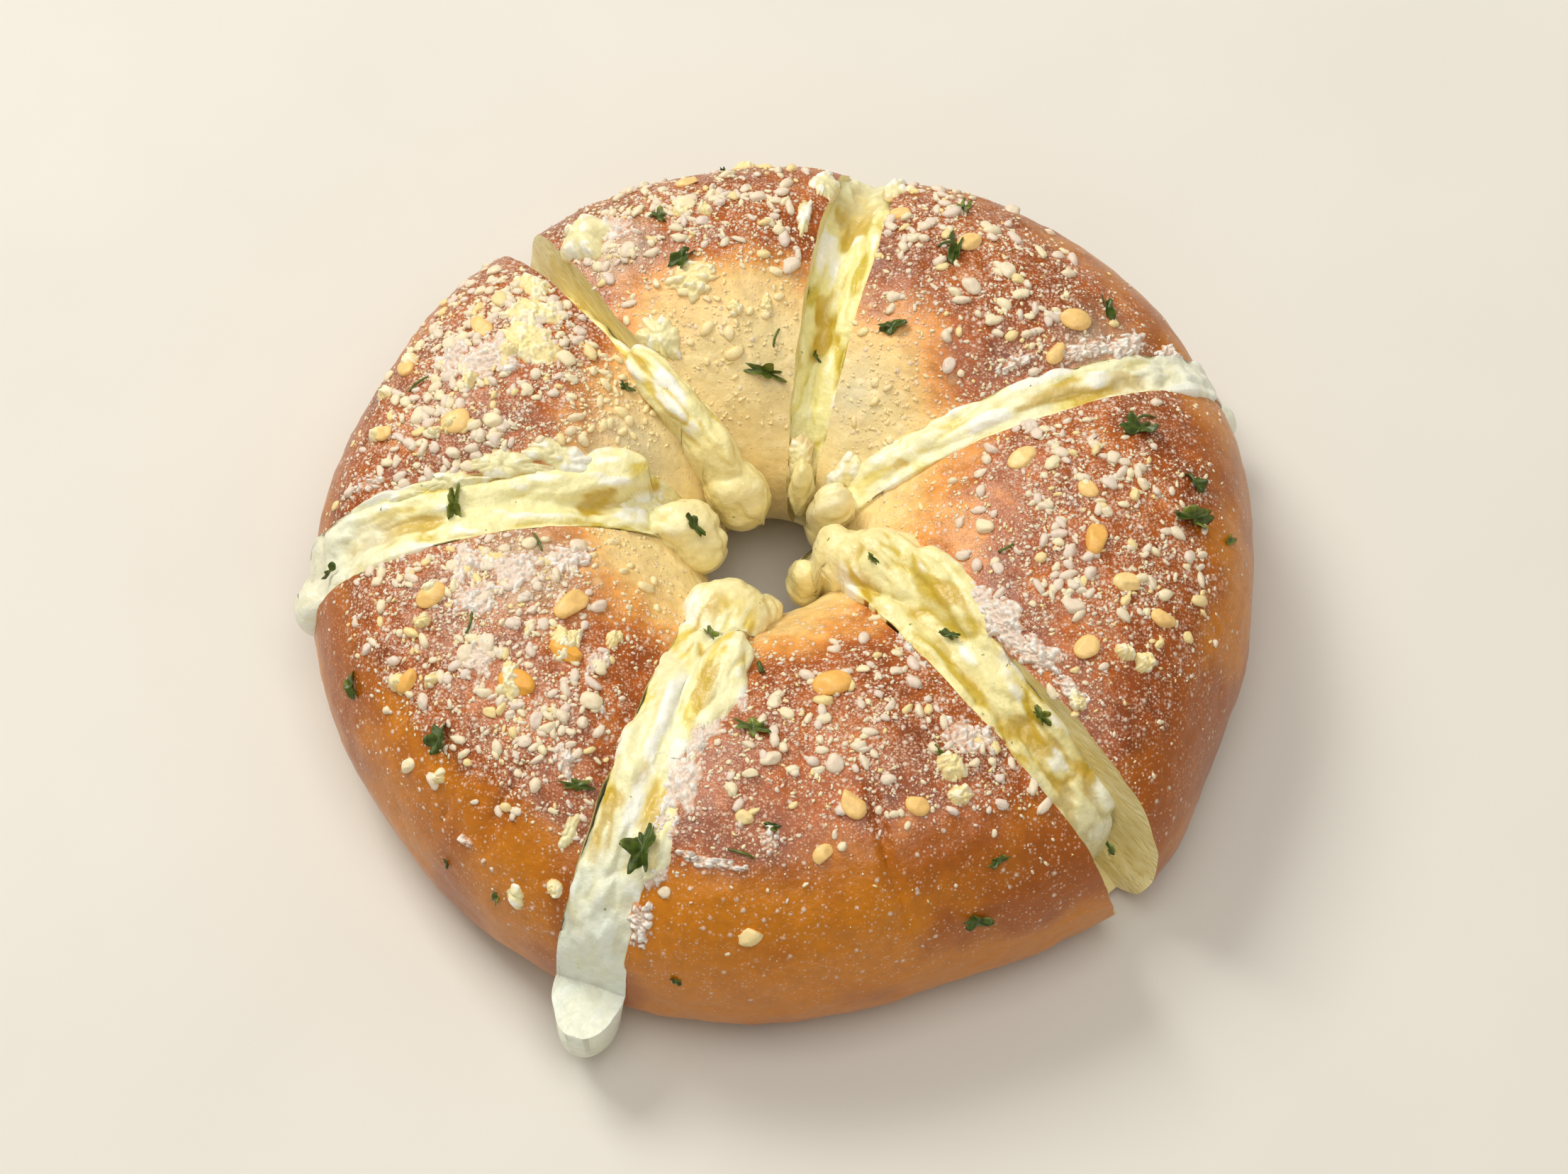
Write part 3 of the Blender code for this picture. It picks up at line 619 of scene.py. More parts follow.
crust_material, tree, shader = new_material(
    "buttered_bread_crust", Roughness=0.42, IOR=1.46, Coat_Weight=0.14, Coat_Roughness=0.18, Coat_IOR=1.46,
)
place = add(tree, "ShaderNodeTexCoord").outputs["Object"]
dust = painted(tree, "dust")
clumps = ranged(tree, clouds(tree, place, CLUMP_SIZE, 4.0, 0.65), 0.36, 0.64, 0.35, 1.35)
lit = maths(tree, "MULTIPLY", dust, clumps)
specks = scattered_dots(tree, place, SPECK_SIZE, lit, 0.6)
powder = scattered_dots(tree, place, POWDER_SIZE, lit, 0.55)
grains = scattered_dots(tree, place, GRAIN_SIZE, maths(tree, "MULTIPLY", lit, 0.45))

# Blisters show where the crust is neither dusted nor bare, and mottling where it is browned
soaked = maths(tree, "SUBTRACT", ranged(tree, dust, 0.45, 0.1, 0.0, 0.35), painted(tree, "bare"))
blisters = scattered_dots(tree, place, BLISTER_SIZE, soaked, 0.6)
mottle = clouds(tree, place, MOTTLE_SIZE, 5.0, 0.65)
darker = ranged(tree, mottle, 0.35, 0.66, -0.28, 0.14)
shading = maths(tree, "MULTIPLY_ADD", darker, ranged(tree, dust, 0.06, 0.4, 0.3), 1.0)
colour = vector_maths(tree, "MULTIPLY", painted(tree, "tone", "Color"), shading)
for amount, most, code in (
    (blisters, 0.30, "#FBE9B8"), (specks, 0.40, "#E9B88E"),
    (powder, 0.60, "#F0C8AC"), (grains, 0.75, "#EFDAC6"),
):
    colour = blended(tree, maths(tree, "MULTIPLY", amount, most), colour, code)
tree.links.new(colour, shader.inputs["Base Color"])
dull = ranged(tree, maths(tree, "MAXIMUM", powder, grains), 0.0, 1.0, 0.34, 0.7)
tree.links.new(dull, shader.inputs["Roughness"])
height = mottle
for amount, weight in ((blisters, 0.5), (powder, 0.35), (grains, 0.7)):
    height = maths(tree, "MULTIPLY_ADD", amount, weight, height)
emboss(tree, shader, height, strength=0.7, depth_mm=0.28, coated=True)

# %% Crumb material: the soft inside that a cut shows, wet with butter
PORE_SIZE, SOFT_SIZE = 1.4, 2.4
crumb_material, tree, shader = new_material("buttery_bread_crumb", Roughness=0.45, IOR=1.45)
place = add(tree, "ShaderNodeTexCoord").outputs["Object"]
squeezed = vector_maths(tree, "MULTIPLY", place, (1.0, 1.0, 2.2))
pores = add(tree, "ShaderNodeTexVoronoi", {"Vector": squeezed, "Scale": 1000 / PORE_SIZE},
            feature="SMOOTH_F1").outputs["Distance"]
soft = ranged(tree, clouds(tree, squeezed, SOFT_SIZE, 5.0), 0.35, 0.65)
tree.links.new(blended(tree, soft, "#F8EDBE", "#EAD794"), shader.inputs["Base Color"])
emboss(tree, shader, ranged(tree, pores, 0.15, 0.45), strength=0.35, depth_mm=0.3)

# %% [markdown]
# ## The bread
#
# The ring is a closed grid of sections by turns, pushed along its normals by the relief. The cuts could
# be left out of the grid, but a real knife leaves crisp edges, so six blades with rough walls cut it
# with a Boolean. The manifold solver keeps the blades' own material on the faces that they make, which
# is how the cut faces come to be crumb while the outside stays crust.

# %% Uncut ring with relief
RING_SECTIONS = 500
RING_TURNS = 150
FINE_TURNS = 4000
# The angle whose section is measured, and how much the underside's length counts there
MEASURED_AT = 50.0
UNDER_WEIGHT = 0.33


def even_turns(count):
    """Turns evenly spaced along a section, with the hidden underside three times coarser."""
    fine = np.linspace(0, 2 * np.pi, FINE_TURNS)
    points = ring_surface(np.full(FINE_TURNS, MEASURED_AT), fine)
    steps = np.linalg.norm(np.diff(points, axis=0), axis=-1)
    steps = steps * np.where(points[1:, 2] < 1 * MM, UNDER_WEIGHT, 1.0)
    length = np.concatenate([[0], np.cumsum(steps)])
    return np.interp(np.arange(count) * length[-1] / count, length, fine)


def grid_normals(points, closed_rows=True):
    """Outward unit normals of a grid whose columns close up, from the differences of its neighbours."""
    if closed_rows:
        down_rows = np.roll(points, -1, 0) - np.roll(points, 1, 0)
    else:
        down_rows = np.gradient(points, axis=0)
    across_rows = np.roll(points, -1, 1) - np.roll(points, 1, 1)
    normals = np.cross(across_rows, down_rows)
    normals = normals / np.maximum(np.linalg.norm(normals, axis=-1, keepdims=True), 1e-12)
    middle = len(points) // 2
    return normals * np.sign(normals[middle, points[middle, :, 2].argmax(), 2])


degrees = np.arange(RING_SECTIONS) * 360 / RING_SECTIONS
degrees, turns = np.meshgrid(degrees, even_turns(RING_TURNS), indexing="ij")
points = ring_surface(degrees, turns)
shares = section_share(turns)
tone, dust, bare = crust_colours(points, degrees, shares)
points = points + grid_normals(points) * crust_relief(points, degrees, shares)[..., None]
layers = {
    "tone": tone.reshape(-1, 4), "dust": dust.ravel(), "bare": bare.ravel(), "skin": np.ones(dust.size),
}
faces = grid_faces(RING_SECTIONS, RING_TURNS, True)
bread = mesh_object("bread_baked", points, faces, [crust_material, crumb_material], layers)
print("uncut ring:", triangle_count(bread), "triangles")


# %% Rough blades for the cuts
# A blade's first and last share, the cuts that the eye sees into, and the loops and the steps down a wall
# of the blades for those cuts and for the others
BLADE_SHARES = (-0.14, 1.25)
SEEN_INTO = (2, 3, 6)
FINE_BLADE, COARSE_BLADE = (84, 26), (40, 12)
# Torn crumb on its walls: height and width in mm, seed, octaves
TORN_CRUMB = ((0.26, 5, 41, 2), (0.05, 2.0, 51, 1))


def blade(number, cut, stations, steps):
    """Hollow of a cut: loops that go down one wall and up the other, roughened like torn crumb."""
    shares = np.linspace(*BLADE_SHARES, stations)
    depth = np.linspace(0, 1, steps)[None] ** 0.8
    top, floor_height = SLOT_HEIGHTS[-1], slot_floor(cut, shares)[:, None]
    heights = top + (floor_height - top) * depth
    full = through_three(shares, *cut.half_widths)[:, None] * MM
    half = full * np.interp(heights, SLOT_HEIGHTS, SLOT_FULLNESS)
    side = np.concatenate([half, -half[:, ::-1]], 1)
    level = np.concatenate([heights, heights[:, ::-1]], 1)
    across = cut_line(cut)[2]
    centre = plan_point(np.full(stations, cut.rim_angle), shares)
    points = raised(centre[:, None] + side[..., None] * across, level)
    rough = layered(points, TORN_CRUMB, number) * MM
    points[..., :2] += rough[..., None] * across * np.sign(side)[..., None]
    materials = [crust_material, crumb_material]
    made = mesh_object(f"blade_{number}", points, grid_faces(*level.shape), materials)
    shape = bmesh.new()
    shape.from_mesh(made.data)
    bmesh.ops.holes_fill(shape, edges=[edge for edge in shape.edges if edge.is_boundary])
    bmesh.ops.recalc_face_normals(shape, faces=shape.faces)
    shape.to_mesh(made.data)
    shape.free()
    made.data.polygons.foreach_set("material_index", np.ones(len(made.data.polygons), np.int32))
    return made


def cut_with(target, cutter):
    """Takes the cutter out of the target and drops it."""
    modifier = target.modifiers.new("cut", "BOOLEAN")
    modifier.operation = "DIFFERENCE"
    modifier.solver = "MANIFOLD"
    modifier.object = cutter
    graph = bpy.context.evaluated_depsgraph_get()
    made = bpy.data.meshes.new_from_object(target.evaluated_get(graph))
    target.modifiers.clear()
    target.data = made
    bpy.data.objects.remove(cutter)


for number, cut in enumerate(CUTS, 1):
    cut_with(bread, blade(number, cut, *(FINE_BLADE if number in SEEN_INTO else COARSE_BLADE)))
print("bread:", triangle_count(bread), "triangles")


# %% Colours along the new edges
FILL_ROUNDS = 3
SLIVER = 0.08 * MM
SHARP_ANGLE = 55


def read_layer(mesh, label, width):
    """Values of a point attribute as an array."""
    values = np.empty(len(mesh.vertices) * width, np.float32)
    mesh.attributes[label].data.foreach_get("value" if width == 1 else "color", values)
    return values.reshape(-1, width)


def fill_new_edges(mesh, labels):
    """Gives points that cutting made, in rounds, the mean of those neighbours whose colour is known."""
    ends = np.empty(len(mesh.edges) * 2, np.int32)
    mesh.edges.foreach_get("vertices", ends)
    first, second = np.concatenate([ends.reshape(-1, 2), ends.reshape(-1, 2)[:, ::-1]]).T
    known = read_layer(mesh, "skin", 1)[:, 0] > 0.5
    layers = [(label, width, read_layer(mesh, label, width)) for label, width in labels]
    for _ in range(FILL_ROUNDS):
        use = known[second] & ~known[first]
        count = np.bincount(first[use], minlength=len(known))
        fresh = count > 0
        for _, width, values in layers:
            for i in range(width):
                sums = np.bincount(first[use], values[second[use], i], len(known))
                values[fresh, i] = sums[fresh] / count[fresh]
        known = known | fresh
    for label, width, values in layers:
        mesh.attributes[label].data.foreach_set("value" if width == 1 else "color", values.ravel())


fill_new_edges(bread.data, (("tone", 4), ("dust", 1), ("bare", 1)))
shape = bmesh.new()
shape.from_mesh(bread.data)
bmesh.ops.remove_doubles(shape, verts=shape.verts, dist=SLIVER)
shape.to_mesh(bread.data)
shape.free()


def sharpen_material_edges(mesh):
    """Marks as sharp the edges between faces of different materials, on top of those already sharp."""
    edges, totals = np.empty(len(mesh.loops), np.int32), np.empty(len(mesh.polygons), np.int32)
    kinds, sharp = np.empty(len(mesh.polygons), np.int32), np.zeros(len(mesh.edges), bool)
    mesh.loops.foreach_get("edge_index", edges)
    mesh.polygons.foreach_get("loop_total", totals)
    mesh.polygons.foreach_get("material_index", kinds)
    mesh.edges.foreach_get("use_edge_sharp", sharp)
    lowest, highest = np.full(len(sharp), 9), np.full(len(sharp), -1)
    np.minimum.at(lowest, edges, np.repeat(kinds, totals))
    np.maximum.at(highest, edges, np.repeat(kinds, totals))
    mesh.edges.foreach_set("use_edge_sharp", sharp | (lowest != highest))


bread.data.shade_smooth()
bread.data.set_sharp_from_angle(angle=np.radians(SHARP_ANGLE))
sharpen_material_edges(bread.data)
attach(bread, "root")
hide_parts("bread")

# %% [markdown]
# ## Cream cheese in the cuts
#
# Garlic cream cheese is piped into each cut and melts a little in the oven. It fills the cut, swells
# into soft lumps at the hole, and spreads over the crust's edge in places. Each filling is two sheets
# over one plan outline, an upper and a lower, that meet all the way round. The upper sheet is the soft
# maximum of a bar along the cut and some egg-shaped swells, so that they run into each other as thick
# cream does. Metaballs would melt together too, but they can't be told how high to lie at each point.

# %% Swells
# Cut number, share, sideways and upwards shift from the crust's edge, and half sizes along, across and up
Swell = namedtuple("Swell", "cut share side lift size")
SWELLS = (
    Swell(1, 0.01, -1.3, 6.6, (3.0, 2.6, 4.6)),
    Swell(1, -0.005, -1.2, 3.8, (2.6, 2.4, 4.4)),
    Swell(2, -0.005, -0.4, 8.0, (2.7, 1.6, 6.2)),
    Swell(3, -0.02, 0.7, 8.0, (4.6, 3.9, 6.2)),
    Swell(3, 0.11, 0.2, 3.5, (6.5, 2.9, 3.8)),
    Swell(3, 0.26, 0.3, 1.6, (8.0, 2.7, 2.8)),
    Swell(4, 0.02, 3.2, 3.2, (3.6, 3.2, 4.8)),
    Swell(4, 0.054, 1.2, 2.8, (4.4, 3.4, 3.6)),
    Swell(4, 0.30, -3.8, 0.4, (9.0, 3.4, 1.4)),
    Swell(4, 0.99, 2.6, -1.0, (3.0, 3.2, 4.6)),
    Swell(5, 0.10, 1.0, 2.0, (4.6, 5.4, 3.8)),
    Swell(5, 0.06, 4.4, 1.2, (3.2, 3.0, 3.6)),
    Swell(5, 0.36, 4.4, 0.8, (9.5, 3.4, 1.9)),
    Swell(5, 0.70, 4.6, 0.4, (6.5, 2.6, 1.4)),
    Swell(5, 1.04, 0.3, -4.6, (5.0, 3.8, 4.6)),
    Swell(6, 0.045, -0.4, 2.8, (4.6, 3.6, 4.8)),
    Swell(6, 0.10, 0.9, 2.8, (4.4, 3.8, 3.2)),
    Swell(6, -0.01, -4.4, 3.0, (2.6, 2.4, 5.0)),
    Swell(6, 0.16, 2.6, 2.2, (6.0, 4.2, 2.6)),
    Swell(6, 0.34, 5.0, 0.9, (9.5, 3.3, 1.9)),
)
# In mm: over how much two surfaces melt together, the rounding of a bar's ends, how deep the bar lies in
# the cut's floor, how much higher it starts at the hole, its least height, and how far it is in the walls
SOFTNESS = 0.8
ROUND_END = 2.5
KEEL_DEPTH = 1
KEEL_RISE = 8
LEAST_HEIGHT = 2.5
WALL_OVERLAP = 0.12
# Past the rim the top falls this far over this length in mm
RIM_FALL, RIM_RUN = 3, 4
CREAM_ROWS = 240
TOP_COLUMNS = 64
LOW_COLUMNS = 20

# What the knife and the oven did to each filling's top, in mm: how far the sides sag, and a channel's
# depth, its place across from -1 to 1, and its half width in shares of the half width
Top = namedtuple("Top", "sag channel place width")
TOPS = (
    Top(0.5, 0.5, -0.55, 0.30), Top(0.2, 1.9, 0.15, 0.50), Top(1.2, 0.0, 0.0, 0.4),
    Top(0.1, 0.9, 0.10, 0.40), Top(1.0, 0.5, 0.20, 0.22), Top(0.4, 0.8, -0.10, 0.40),
)


# %% The two sheets of a filling
def swells_of(number):
    """The swells of one cut."""
    return [swell for swell in SWELLS if swell.cut == number]


def bow_of(cut, share):
    """Sideways shift of the cut's middle line in mm: a parabola between its ends."""
    return cut.bow * 4 * share * (1 - share) * (np.abs(share - 0.5) < 0.5)


def in_channel(top, across):
    """Bell curve of the distance across to the middle of the top's channel."""
    return bell((across - top.place) / top.width)


def bar_sheets(cut, top, x, y):
    """Half width, top and bottom in mm of the bar at x along and y across, an oval past the rim."""
    length = cut_line(cut)[3] / MM
    share = x / length
    floor_height = slot_floor(cut, share) / MM - KEEL_DEPTH + KEEL_RISE * smooth_step(2.5, -0.5, x)
    edge = top_height(share, CUT_EDGE_DROP) / MM + through_three(share, *cut.levels)
    edge = edge - np.clip((x - length) / RIM_RUN, 0, 1) * RIM_FALL
    edge = np.maximum(edge, floor_height + LEAST_HEIGHT)
    to_rim = (length + cut.reach[1] - x) / max(ROUND_END, cut.reach[1] + 1)
    inside = np.clip(np.minimum((x + cut.reach[0]) / ROUND_END, to_rim), 0, 1)
    fullness = (1 - (1 - inside) ** 3) ** (1 / 3)
    half = (through_three(share, *cut.half_widths) + WALL_OVERLAP) * fullness + 1e-4
    across = (y - bow_of(cut, share)) / half
    middle, tall = (edge + floor_height) / 2, (edge - floor_height) / 2 * fullness
    beyond = 20 * half * np.clip(np.abs(across) - 1, 0, None)
    tongue = smooth_step(-1.0, 1.6, x - length)
    channel = top.channel * smooth_step(0.0, 0.2, share) * in_channel(top, across) * (1 - tongue)
    tall = tall * (1 - tongue * (1 - np.sqrt(np.clip(1 - across**2, 0, 1))))
    upper = middle + tall - top.sag * np.abs(np.clip(across, -1, 1)) ** 3 - channel - beyond
    lower = middle - tall + beyond
    walls = np.interp(np.abs(across), SLOT_FULLNESS, SLOT_HEIGHTS / MM)
    lower = lower + np.clip(walls - lower, 0, None) * smooth_step(-4, -2, x - length)
    return half, upper, lower


def egg_sheets(cut, swell, x, y):
    """Centre, top and bottom in mm of an egg-shaped swell, carried on steeply outside its outline."""
    length = cut_line(cut)[3] / MM
    centre = np.array((swell.share * length, swell.side + bow_of(cut, swell.share)))
    height = top_height(swell.share, CUT_EDGE_DROP) / MM + swell.lift
    inside = 1 - ((x - centre[0]) / swell.size[0]) ** 2 - ((y - centre[1]) / swell.size[1]) ** 2
    rise = swell.size[2] * np.where(inside > 0, np.sqrt(np.abs(inside)), 4 * np.clip(inside, -3, 0))
    return centre, height + rise, height - rise


def soft_maximum(values):
    """Largest of several arrays, rounded over about SOFTNESS mm where two are close."""
    values = np.stack(values)
    highest = values.max(0)
    return highest + SOFTNESS * np.log(np.exp((values - highest) / SOFTNESS).sum(0))


def cream_sheets(cut, top, swells, x, y):
    """Top and bottom heights in mm of a whole filling at x along and y across."""
    pairs = [bar_sheets(cut, top, x, y)[1:]] + [egg_sheets(cut, swell, x, y)[1:] for swell in swells]
    upper = soft_maximum([pair[0] for pair in pairs])
    lower = -soft_maximum([-pair[1] for pair in pairs])
    return upper, np.minimum(lower, upper)


def cream_outline(cut, top, swells, rows):
    """Stations along a filling, with its middle and half width there: the widest of bar and swells."""
    length = cut_line(cut)[3] / MM
    first, last = -cut.reach[0], length + cut.reach[1]
    for swell in swells:
        first = min(first, swell.share * length - swell.size[0])
        last = max(last, swell.share * length + swell.size[0])
    even = np.linspace(0, 1, rows)
    x = first + (last - first) * (0.6 * even + 0.2 * (1 - np.cos(np.pi * even)))
    half = bar_sheets(cut, top, x, 0 * x)[0]
    right, left = bow_of(cut, x / length) + half, bow_of(cut, x / length) - half
    for swell in swells:
        centre = egg_sheets(cut, swell, x, 0 * x)[0]
        reach = 1 - ((x - centre[0]) / swell.size[0]) ** 2
        wide = swell.size[1] * np.sqrt(np.clip(reach, 0, None))
        right = np.where(reach > 0, np.maximum(right, centre[1] + wide), right)
        left = np.where(reach > 0, np.minimum(left, centre[1] - wide), left)
    middle = (right + left) / 2
    half = (right - left) / 2
    half[[0, -1]] = 0
    return x, middle, half


# %% Colours of the fillings: the body, the wet streaks, the rim end, and the lumps at the hole
Look = namedtuple("Look", "body streak rim lump")
LOOKS = (
    Look("#F9F3C4", "#E9D880", "#F1F3E2", "#F8EAB0"), Look("#F1E8A2", "#D3BE4A", "#F0EBBC", "#F6E8AA"),
    Look("#FAF0B0", "#E5CC66", "#D8BE4E", "#F9E8A2"), Look("#F8EFB2", "#E0C95E", "#F0F1DC", "#F8EBB2"),
    Look("#F6EFBC", "#EBD468", "#E9EFE0", "#F9EBAE"), Look("#F4E9A8", "#D5BA48", "#F0F2D8", "#F9EBAC"),
)
# Mustard butter that is also painted shade in the low parts and the channel, and white cream
BUTTER_AND_SHADE_CODE, WHITE_CODE = "#C9A42C", "#FBFAEE"


def drawn_out(flow, shrink, size, seed):
    """Noise drawn out along the cut, where places are shrunk."""
    return noise(flow * (shrink, 1.0, 1.0), size, seed, 3)


def cream_colours(look, flow, share, height, valley):
    """Tint from the relief: white on folds, yellow between, butter with painted shade low and in valleys.
    """
    streaks = drawn_out(flow, 0.22, 1.5, 61) - 0.9 * height
    tint = mixed(look.body, look.streak, smooth_step(0.0, 1.0, streaks))
    # Butter and painted shade: mustard where the relief is low and in the channel
    butter = smooth_step(0.5, 1.1, drawn_out(flow, 0.3, 2.8, 64) - 0.8 * height + 0.75 * valley)
    tint = mixed(tint, BUTTER_AND_SHADE_CODE, 0.75 * butter)
    white = smooth_step(0.35, 0.95, drawn_out(flow, 0.45, 2.6, 67) + 0.8 * height - 0.5 * valley)
    tint = mixed(tint, WHITE_CODE, 0.85 * white)
    tint = mixed(tint, look.rim, 0.8 * smooth_step(0.66, 0.95, share + 0.08 * noise(flow, 4, 71, 2)))
    return mixed(tint, look.lump, 0.85 * smooth_step(0.16, 0.04, share + 0.04 * noise(flow, 3, 73, 2)))


# %% Cream cheese material: smooth fat and water, soft to light, wet on top
# Sizes of its herbs, curd and bubbles, and how far the herbs' edges are torn, in mm
HERB_SIZE, CURD_SIZE, BUBBLE_SIZE, HERB_TEAR = 1.7, 1.1, 0.6, 1.2
cream_material, tree, shader = new_material(
    "melted_cream_cheese", Roughness=0.34, IOR=1.46, Subsurface_Weight=0.15, Subsurface_Scale=1.5 * MM,
    Subsurface_Radius=(1.0, 0.8, 0.5), Coat_Weight=0.3, Coat_Roughness=0.12, Coat_IOR=1.46,
)
place = add(tree, "ShaderNodeTexCoord").outputs["Object"]
curd = clouds(tree, place, CURD_SIZE, 5.0, 0.62)
bubbles = add(tree, "ShaderNodeTexVoronoi", {"Vector": place, "Scale": 1000 / BUBBLE_SIZE})
bent = vector_maths(tree, "MULTIPLY", curd.node.outputs["Color"], (HERB_TEAR * MM,) * 3)
flecks = scattered_dots(tree, vector_maths(tree, "ADD", place, bent), HERB_SIZE, 0.2, 0.12)
shade = ranged(tree, curd, 0.3, 0.7, 0.90, 1.05)
body = vector_maths(tree, "MULTIPLY", painted(tree, "tone", "Color"), shade)
tree.links.new(blended(tree, flecks, body, "#7D8238"), shader.inputs["Base Color"])
height = maths(tree, "MULTIPLY_ADD", bubbles.outputs["Distance"], 0.25, curd)
emboss(tree, shader, height, strength=0.55, depth_mm=0.3, coated=True)


# %% Build the six fillings
# Lumps in the cream: height and width in mm, seed, octaves
CREAM_LUMPS = ((0.32, 4.5, 91, 2), (0.13, 1.5, 101, 2))


def folds(flow, size, seed):
    """Ridges with sharp creases between them, along the cut: noise with its low half turned up."""
    return 2 * np.abs(noise(flow * (0.35, 1.0, 0.7), size, seed, 3)) - 0.7


def filling(number, cut, top, look):
    """Closed mesh of one filling: loops across it, each out over the upper sheet and back under it."""
    swells = swells_of(number)
    length = cut_line(cut)[3]
    x, middle, half = cream_outline(cut, top, swells, CREAM_ROWS)
    around = np.concatenate([np.linspace(0, np.pi, TOP_COLUMNS, endpoint=False),
                             np.linspace(np.pi, 2 * np.pi, LOW_COLUMNS, endpoint=False)])
    x = np.repeat(x[:, None], len(around), 1)
    y = middle[:, None] + half[:, None] * np.cos(around)
    upper, lower = cream_sheets(cut, top, swells, x, y)
    on_top = np.broadcast_to(around < np.pi, x.shape)
    height = np.where(on_top, upper, lower)
    height[[0, -1]] = ((upper + lower) / 2)[[0, -1]].mean(1, keepdims=True)
    points = in_cut(cut, x, y, height)
    flow = np.stack([x, y, height], -1) * MM
    share = x / (length / MM)
    calm = smooth_step(0.02, 0.24, share)
    ridges = folds(flow, 3.4, 81 + number)
    lumps = layered(points, CREAM_LUMPS, number)
    hanging = 1 - 0.85 * smooth_step(0.95, 1.0, share)
    rise = (0.42 * ridges * (0.6 + 0.4 * calm) + lumps) * hanging * MM
    rise = rise * on_top * smooth_step(0, 0.12, half[:, None])
    points = points + grid_normals(points, False) * rise[..., None]
    sideways = (y - bow_of(cut, share)) / bar_sheets(cut, top, x, y)[0]
    valley = (top.channel > 0.7) * in_channel(top, sideways) * calm
    tone = cream_colours(look, flow, share, ridges + lumps, valley)
    made = mesh_object(f"cream_filling_{number}", points, grid_faces(*x.shape), [cream_material],
                       {"tone": tone.reshape(-1, 4)}, merge=1e-6)
    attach(made, "root")
    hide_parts(f"cream_{number}")
    return made


fillings = [filling(i, cut, top, look) for i, (cut, top, look) in enumerate(zip(CUTS, TOPS, LOOKS), 1)]
print("fillings:", [triangle_count(made) for made in fillings], "triangles")

# %% [markdown]
# ## Toppings
#
# Grated hard cheese, fried garlic and parsley were sprinkled on the melted cream and butter. The largest
# bits are also on the solid, so they keep their places here: the same seeded draw of places is
# made again. Particles or instances would be the usual way to scatter, but only real mesh is kept when
# the model is exported, so each kind is one mesh: small shapes, scaled, turned and moved in one product
# of arrays.

# %% Places of the large toppings
# Flakes of parsley: degrees, share, half length in mm, degrees turned from the rim's direction
PARSLEY = (
    (95, 0.24, 3.0, 70), (138, 0.34, 1.4, 20), (200, 0.94, 1.8, 60), (216, 0.83, 2.2, 30),
    (237, 0.70, 2.6, 110), (265, 0.45, 2.6, 75), (266, 0.28, 1.4, 15), (110, 0.73, 1.7, 40),
    (109, 0.57, 2.2, 120), (63, 0.83, 1.8, 10), (59, 0.67, 3.1, 35), (60, 0.40, 2.2, 140),
    (36, 0.80, 2.1, 80), (14, 0.72, 3.2, 0), (6, 0.83, 1.8, 150), (0, 0.82, 2.9, 10),
    (300, 0.88, 1.7, 90), (295, 0.96, 2.5, 60),
)
# Bits of fried garlic: degrees, share, half length in mm
GARLIC = (
    (58, 0.71, 1.7), (32, 0.62, 1.6), (36, 0.71, 2.0), (71, 0.75, 1.5), (10, 0.44, 2.0), (2, 0.58, 1.4),
    (352, 0.61, 2.1), (346, 0.70, 1.7), (332, 0.67, 1.7), (343, 0.80, 1.7), (284, 0.36, 2.4),
    (282, 0.67, 2.0), (292, 0.72, 1.5), (276, 0.76, 1.4), (213, 0.40, 2.5), (221, 0.48, 2.1),
    (219, 0.62, 2.3), (206, 0.83, 1.7), (197, 0.70, 2.0), (166, 0.85, 1.7), (154, 0.89, 1.8),
    (165, 0.66, 1.9), (145, 0.75, 1.9), (104, 0.85, 1.5),
)
CHEESE_COUNT = 74
CHEESE_SIZES = (0.75, 1.35)
TOPPING_BAND = (0.30, 0.93)
FULL_COVER = 3.5
PLACES_SEED = 11
GRAIN_GAP = 0.4 * MM
CREAM_GAP = 1.2 * MM
# The dab of cream beside the third cut: degrees, share, half sizes in mm
DAB = (121.5, 0.775, (3.4, 3.0, 2.4))


def clear_of_cream(plan, size):
    """Whether toppings of this half size are clear of every cut and of the cream that swells out of it."""
    size = np.asarray(size)[..., None]
    clear = np.ones(np.shape(plan)[:-1], bool)
    for number, cut in enumerate(CUTS, 1):
        start, along, across, length = cut_line(cut)
        share = (plan - start) @ along / length
        side = (plan - start) @ across - cut.bow * MM * 4 * share * (1 - share)
        near = np.abs(side) < through_three(share, *cut.half_widths) * MM + CREAM_GAP + size[..., 0]
        clear &= ~((share > -0.1) & (share < 1.1) & near)
        for swell in swells_of(number):
            reach = np.array(swell.size[:2]) * MM + size + CREAM_GAP / 2
            away = np.stack([(share - swell.share) * length, side - swell.side * MM], -1)
            clear &= np.linalg.norm(away / reach, axis=-1) >= 1
    return clear


def cheese_places():
    """Degrees, share and half size of each large grain of cheese, as on the solid."""
    taken = [(smooth_top(np.array(DAB[0]), DAB[1]), max(DAB[2]) * MM)]
    taken += [(smooth_top(np.array(d), s), half * MM) for d, s, half, _ in PARSLEY]
    taken += [(smooth_top(np.array(d), s), half * MM) for d, s, half in GARLIC]
    draw = np.random.default_rng(PLACES_SEED)
    sizes = np.sort(draw.uniform(*CHEESE_SIZES, CHEESE_COUNT))[::-1] * MM
    lowest, highest = (0, TOPPING_BAND[0], 0), (360, TOPPING_BAND[1], FULL_COVER)
    degrees, shares, chance = draw.uniform(lowest, highest, (40 * CHEESE_COUNT, 3)).T
    wanted = chance < topping_weight(degrees, shares)
    places = []
    for angle, share in zip(degrees[wanted], shares[wanted]):
        if len(places) == CHEESE_COUNT:
            break
        size = sizes[len(places)]
        point = smooth_top(np.array(angle), share)
        apart = all(np.linalg.norm(point - other) > size + reach + GRAIN_GAP for other, reach in taken)
        if apart and clear_of_cream(point[:2], size):
            taken.append((point, size))
            places.append((angle, share, size))
    return np.array(places)


large_cheese = cheese_places()
print("large grains of cheese:", len(large_cheese))


